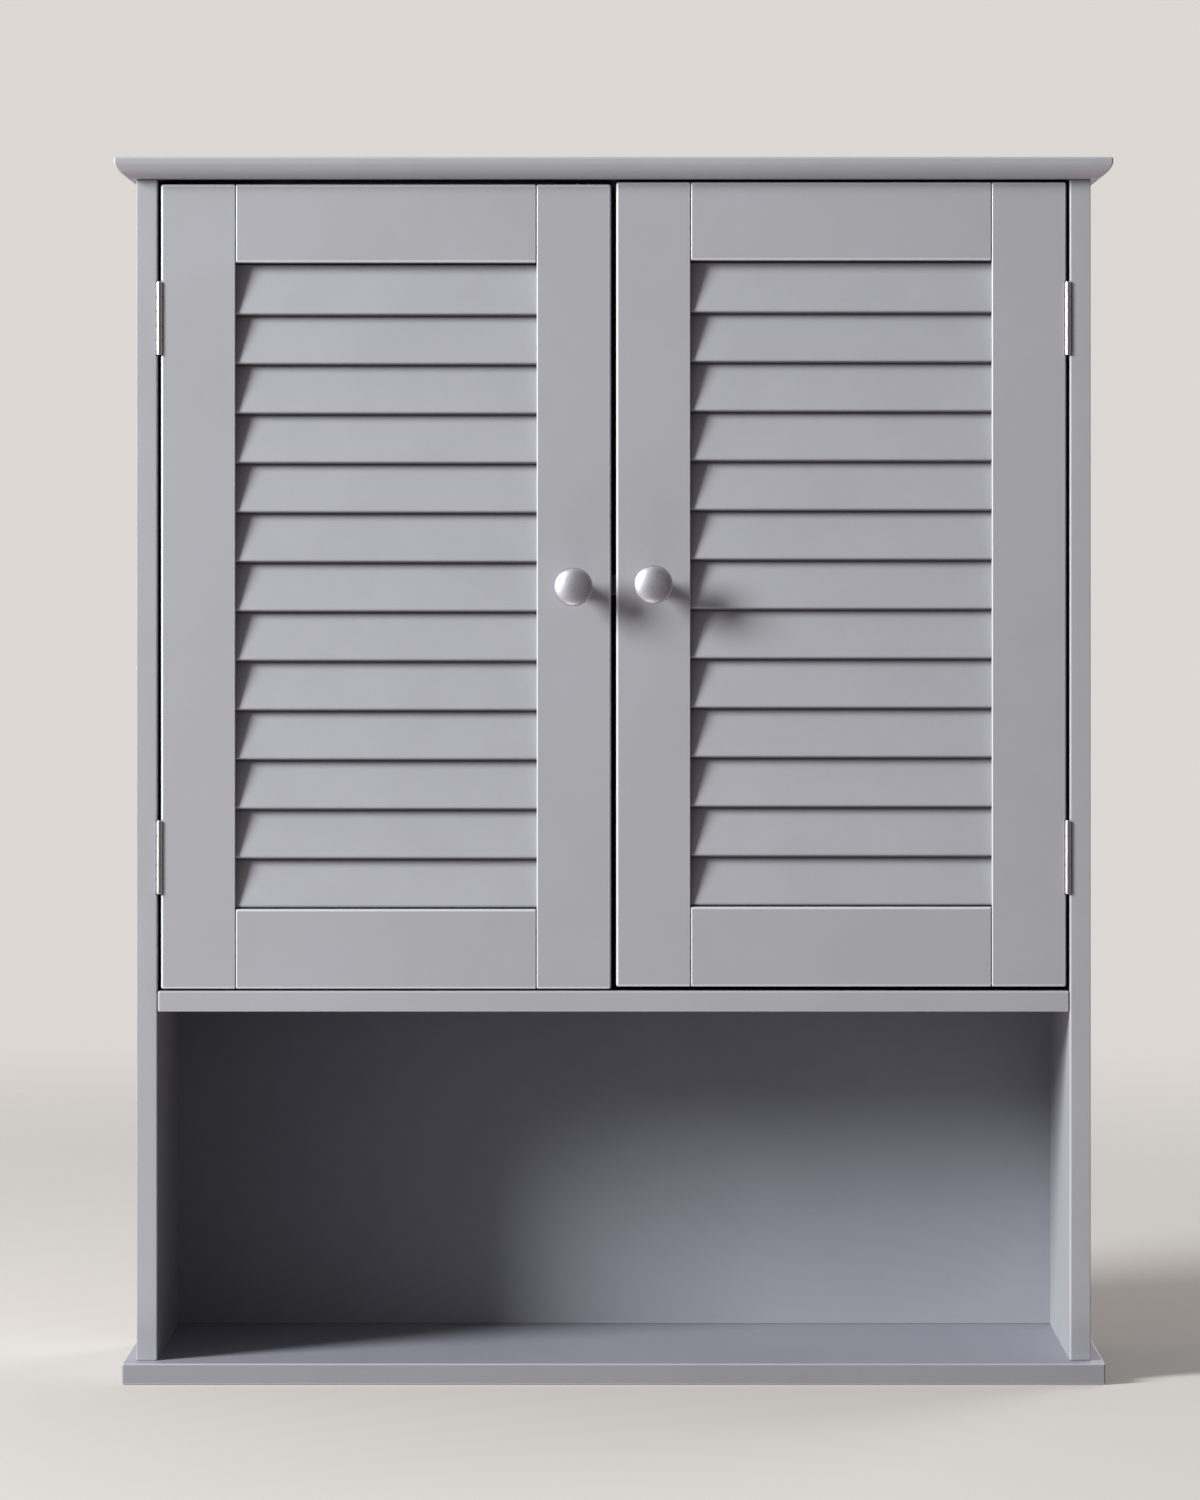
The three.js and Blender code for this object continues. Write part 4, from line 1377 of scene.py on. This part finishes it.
@dataclass
class MagneticCatch:
    """A magnetic catch under the top board: a flanged housing, a magnet and two pole plates."""

    side: Side
    housing_width: float = 16 * MM
    flange_thickness: float = 2 * MM
    edge_round: float = 0.6 * MM
    edge_round_steps: int = 3
    pole_spacing: float = 6.3 * MM
    pole_thickness: float = 1.2 * MM
    pole_height: float = 9 * MM
    pole_foot: float = 0.6 * MM
    pole_projection: float = 1 * MM
    pole_depth: float = 7 * MM
    pole_round: float = 0.15 * MM
    magnet_round: float = 0.3 * MM
    small_round_steps: int = 2
    pocket_clearance: float = 0.3 * MM
    hole_radius: float = 1.7 * MM
    hole_steps: int = 28
    screw: Screw = Screw(3 * MM, 1.6 * MM, countersunk=False)
    screw_turn: float = 0.5

    def build(self) -> None:
        """Makes the catch and its screws."""
        node = f"{self.side.label}_magnetic_catch"
        low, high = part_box(node)
        centre = (low + high) / 2
        front = low.y + self.pole_projection
        half_width = self.housing_width / 2
        housing = Blank.block(
            Vector((centre.x - half_width, front, low.z)), Vector((centre.x + half_width, high.y, high.z))
        )
        ways = (-AXIS_X, AXIS_X)
        sides = [housing.face_facing(way, Vector((centre.x, centre.y, high.z))) for way in ways]
        for side_face, way in zip(sides, ways):
            self.flange(housing, side_face, way, high.x - centre.x - half_width, high.z)
        long_edges = housing.corners() & housing.edges_along(0)
        housing.round_over(long_edges, self.edge_round, self.edge_round_steps)
        across = AXIS_X * (high.x - centre.x + half_width) / 2
        seat = Vector((centre.x, (front + high.y) / 2, high.z - self.flange_thickness))
        seats = {way: seat + across * way for way in (-1, 1)}
        tool = Blank()
        for spot in seats.values():
            hole_middle = spot + AXIS_Z * self.flange_thickness
            tool.add_cylinder(
                hole_middle, AXIS_Z, self.hole_radius, 4 * self.flange_thickness, self.hole_steps
            )
        loose = self.pocket_clearance
        pocket = AXIS_X * (self.pole_spacing / 2 + self.pole_thickness / 2 + loose)
        pole_foot = low.z + self.pole_foot
        foot = Vector((centre.x, front - self.pole_projection, pole_foot - loose))
        head = Vector((centre.x, front + self.pole_depth, pole_foot + self.pole_height + loose))
        tool.add_block(foot - pocket, head + pocket)
        make_piece(
            housing.cut(tool), f"moulded_{node}", "cabinet", [CATCH_PLASTIC], [node]
        )
        self.poles(node, centre.x, front, pole_foot)
        spots = [(spot, -AXIS_Z, self.screw_turn * way) for way, spot in seats.items()]
        self.screw.place_all(f"{node}_screws", "cabinet", "magnetic_catch", ZINC_PLATE, spots)

    def flange(
        self, housing: Blank, face: bmesh.types.BMFace, way: Vector, reach: float, top: float
    ) -> None:
        """Draws one ear of the flange out of the housing's side, at its top.

        Args:
            housing: The housing's blank.
            face: The housing's whole side face.
            way: The way that the ear sticks out.
            reach: How far it sticks out.
            top: The height of its upper face.
        """
        bmesh.ops.bisect_plane(
            housing.mesh,
            geom=[face, *face.edges, *face.verts],
            plane_co=(0, 0, top - self.flange_thickness),
            plane_no=AXIS_Z,
        )
        near = face.calc_center_median()
        near.z = top
        housing.draw_out(housing.face_facing(way, near), way * reach)

    def poles(self, node: str, middle_x: float, front: float, foot: float) -> None:
        """The two steel pole plates and the magnet that they hold between them."""
        steel = Blank()
        half = self.pole_thickness / 2
        for way in (-1, 1):
            centre = middle_x + way * self.pole_spacing / 2
            steel.add_block(
                Vector((centre - half, front - self.pole_projection, foot)),
                Vector((centre + half, front + self.pole_depth, foot + self.pole_height)),
            )
        steel.round_over(steel.corners(), self.pole_round, self.small_round_steps)
        make_piece(steel, f"{node}_poles", "cabinet", [NICKEL_PLATE])
        gap = (self.pole_spacing - self.pole_thickness) / 2
        magnet = Blank.block(
            Vector((middle_x - gap, front, foot + self.pole_foot)),
            Vector((middle_x + gap, front + self.pole_depth, foot + self.pole_height - self.pole_foot)),
        )
        magnet.round_over(magnet.corners(), self.magnet_round, self.small_round_steps)
        make_piece(magnet, f"{node}_magnet", "cabinet", [FERRITE])


@dataclass
class JointFittings:
    """What holds the boards together: cams, screws up into the sides and screws in the back."""

    cam: Screw = Screw(
        6 * MM, 0.3 * MM, countersunk=False, shank_radius=5.5 * MM, recess_length_share=1.3
    )
    cam_turns: tuple[float, float] = (0.4, 1.1)
    cam_inset: float = 24 * MM
    bottom_screw: Screw = Screw(3.6 * MM, 1.6 * MM, countersunk=True)
    bottom_screw_turn: float = 0.2
    back_screw: Screw = Screw(3.2 * MM, 1.4 * MM, countersunk=True)
    back_screw_turn: float = 0.7
    front_setback: float = 37 * MM
    rear_setback: float = 35 * MM
    back_screw_spacing: float = 220 * MM
    rail_screw_drop: float = 15 * MM
    proud: float = 0.1 * MM

    def build(self) -> None:
        """Makes all the fittings."""
        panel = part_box("left_side_panel")
        rows = [panel[0].y + self.front_setback, -self.rear_setback]
        inner = {Side.LEFT: panel[1].x, Side.RIGHT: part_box("right_side_panel")[0].x}
        under_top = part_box("top_board")[0].z - self.cam_inset
        shelf_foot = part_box("middle_shelf")[0].z
        spots = []
        for side in Side:
            for number, row in enumerate(rows):
                wall = Vector((inner[side], row, under_top))
                spots.append((wall, -AXIS_X * side.value, self.cam_turns[0] + number))
                under = Vector((inner[side] - side.value * self.cam_inset, row, shelf_foot))
                spots.append((under, -AXIS_Z, self.cam_turns[1] + number))
        self.cam.place_all("cam_discs", "cabinet", "carcass_board", CAM_ZINC, spots)
        self.bottom_screws(rows)
        self.back_screws()

    def bottom_screws(self, rows: list[float]) -> None:
        """The countersunk screws that go up through the bottom board into the sides."""
        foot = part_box("bottom_board")[0].z - self.proud
        spots = []
        for side in Side:
            middle = middle_of(f"{side.label}_side_panel").x
            for number, row in enumerate(rows):
                spots.append((Vector((middle, row, foot)), -AXIS_Z, self.bottom_screw_turn + number))
        self.bottom_screw.place_all("bottom_board_screws", "cabinet", "carcass_board", ZINC_PLATE, spots)

    def back_screws(self) -> None:
        """The countersunk screws through the back panel into the middle shelf and the rail."""
        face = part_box("back_panel")[1].y + self.proud
        spots = []
        for board, drop in (("middle_shelf", 0.0), ("hanging_rail", self.rail_screw_drop)):
            for column in (-1, 0, 1):
                place = Vector((column * self.back_screw_spacing, face, middle_of(board).z - drop))
                spots.append((place, AXIS_Y, self.back_screw_turn * column))
        self.back_screw.place_all("back_panel_screws", "cabinet", "back_panel", ZINC_PLATE, spots)


@dataclass
class Studio:
    """The camera, the soft lights, the plain surroundings and the pale floor."""

    eye: Vector
    focal_length: float = 151.4
    sensor: float = 36.0
    shift: tuple[float, float] = (-0.0213, -0.1333)
    key_place: Vector = Vector((-3.21, -2.03, 1.06))
    key_target: Vector = Vector((0, -0.18, -0.3))
    key_size: tuple[float, float] = (1.3, 1.75)
    key_power: float = 326.0
    key_colour: str = "#f9fdfb"
    rear_place: Vector = Vector((2.2, 2.6, 1.2))
    rear_size: tuple[float, float] = (2.2, 2.2)
    rear_power: float = 60.0
    card_place: Vector = Vector((-0.3, -0.75, -1.62))
    card_target: Vector = Vector((0, -0.18, -0.5))
    card_size: tuple[float, float] = (0.9, 0.45)
    card_power: float = 5.5
    surroundings: str = "#d9d4cf"
    surroundings_light: float = 1.04
    fill: str = "#e4dee3"
    dim_way: Vector = Vector((0.57, -0.82, 0))
    dim_light: float = 0.15
    fill_light: float = 0.46
    gloss_light: float = 1.1
    dim_angle: float = math.radians(42)
    fill_angle: float = math.radians(76)
    bounce: str = "#e6dddd"
    bounce_light: float = 1.25
    bounce_gloss_light: float = 0.5
    bounce_start: float = math.radians(42)
    bounce_full: float = math.radians(58)
    floor_colour: str = "#c6c1bc"
    floor_radius: float = 2.5
    floor_fade_start: float = 0.8
    floor_steps: int = 96
    floor_drop: float = 0.2 * MM
    floor_roughness: float = 0.9
    floor_shine: float = 0.1

    def build(self) -> None:
        """Makes the camera, lights, surroundings and floor."""
        scene = bpy.context.scene
        scene.view_settings.view_transform = "Standard"
        scene.cycles.use_denoising = True
        data = bpy.data.cameras.new("camera")
        data.lens = self.focal_length
        data.sensor_width = self.sensor
        data.shift_x, data.shift_y = self.shift
        camera = bpy.data.objects.new("camera", data)
        camera.location = self.eye
        camera.rotation_euler = (math.pi / 2, 0, 0)
        scene.collection.objects.link(camera)
        scene.camera = camera
        aim, tone = self.key_target, self.key_colour
        self.softbox("key_softbox", self.key_place, aim, self.key_size, self.key_power, tone)
        self.softbox("rear_softbox", self.rear_place, aim, self.rear_size, self.rear_power, tone)
        aim, tone = self.card_target, self.bounce
        self.softbox("low_bounce_card", self.card_place, aim, self.card_size, self.card_power, tone)
        self.world()
        self.floor()

    def softbox(
        self,
        name: str,
        place: Vector,
        target: Vector,
        size: tuple[float, float],
        power: float,
        colour: str,
    ) -> None:
        """Adds a soft oval light.

        Args:
            name: The light's name.
            place: Where it stands.
            target: The point that it faces.
            size: Its width and height.
            power: Its power in watts.
            colour: Its sRGB colour.
        """
        data = bpy.data.lights.new(name, "AREA")
        data.shape = "ELLIPSE"
        data.size, data.size_y = size
        data.energy = power
        data.color = linear(colour)[:3]
        light = bpy.data.objects.new(name, data)
        light.location = place
        light.rotation_euler = (target - place).to_track_quat("-Z", "Y").to_euler()
        bpy.context.scene.collection.objects.link(light)

    def world(self) -> None:
        """Sets pale surroundings, which are dim ahead and to the right, where the room is deep.

        Steeply from below they are brighter, as from a pale surface under the cabinet. What is
        glossy meets them brighter than what is matt, except from below.
        """
        world = bpy.data.worlds.new("studio")
        bpy.context.scene.world = world
        world.use_nodes = True
        nodes = Nodes(world.node_tree)
        way = nodes.add("TexCoord").outputs["Generated"]
        path = nodes.add("LightPath").outputs
        full = nodes.ranged(path["Is Glossy Ray"], low=self.fill_light, high=self.gloss_light)
        ahead = nodes.vector_math("DOT_PRODUCT", way, self.dim_way.normalized()).outputs["Value"]
        start, stop = math.cos(self.fill_angle), math.cos(self.dim_angle)
        around = nodes.glow(self.fill, nodes.ranged(ahead, start, stop, full, self.dim_light, smooth=True))
        below = nodes.vector_math("DOT_PRODUCT", way, -AXIS_Z).outputs["Value"]
        steep = nodes.ranged(below, math.sin(self.bounce_start), math.sin(self.bounce_full), smooth=True)
        low = nodes.ranged(path["Is Glossy Ray"], low=self.bounce_light, high=self.bounce_gloss_light)
        light = nodes.mix_shaders(steep, around, nodes.glow(self.bounce, low))
        seen = nodes.glow(self.surroundings, self.surroundings_light)
        nodes.add("OutputWorld", None, {"Surface": nodes.mix_shaders(path["Is Camera Ray"], light, seen)})

    def floor(self) -> None:
        """Lays a plain pale floor, which fades into the surroundings and throws no light back."""
        plane = bmesh.new()
        bmesh.ops.create_circle(
            plane, cap_ends=True, segments=self.floor_steps, radius=self.floor_radius
        )
        bmesh.ops.translate(plane, verts=plane.verts, vec=(0, 0, CAD_BOX[0].z - self.floor_drop))
        mesh = bpy.data.meshes.new("studio_floor")
        plane.to_mesh(mesh)
        plane.free()
        floor = bpy.data.objects.new("studio_floor", mesh)
        bpy.context.scene.collection.objects.link(floor)
        floor.visible_diffuse = False
        floor.visible_glossy = False
        floor.visible_shadow = False
        recipe = Recipe("studio_floor_paint")
        level = recipe.vector_math("MULTIPLY", recipe.where, Vector((1, 1, 0))).outputs[0]
        away = recipe.vector_math("LENGTH", level).outputs["Value"]
        fade = recipe.ranged(away, self.floor_fade_start, self.floor_radius, smooth=True)
        paint = recipe.surface(
            {
                "Base Color": linear(self.floor_colour),
                "Roughness": self.floor_roughness,
                "Specular IOR Level": self.floor_shine,
            }
        )
        clear = recipe.add("BsdfTransparent").outputs[0]
        mesh.materials.append(recipe.finished(recipe.mix_shaders(fade, paint, clear)))


def main() -> None:
    """Builds the studio and every sub-assembly in order."""
    logging.basicConfig(level=logging.INFO, format="%(name)s: %(message)s")
    Studio(eye=Vector((0.0105, -3.786, -0.1822))).build()
    Carcass().build()
    Shelf().build()
    for side in Side:
        LouvredDoor(side).build()
        for level in Level:
            ButtHinge(side, level).build()
        MagneticCatch(side).build()
    JointFittings().build()


if __name__ == "__main__":
    main()
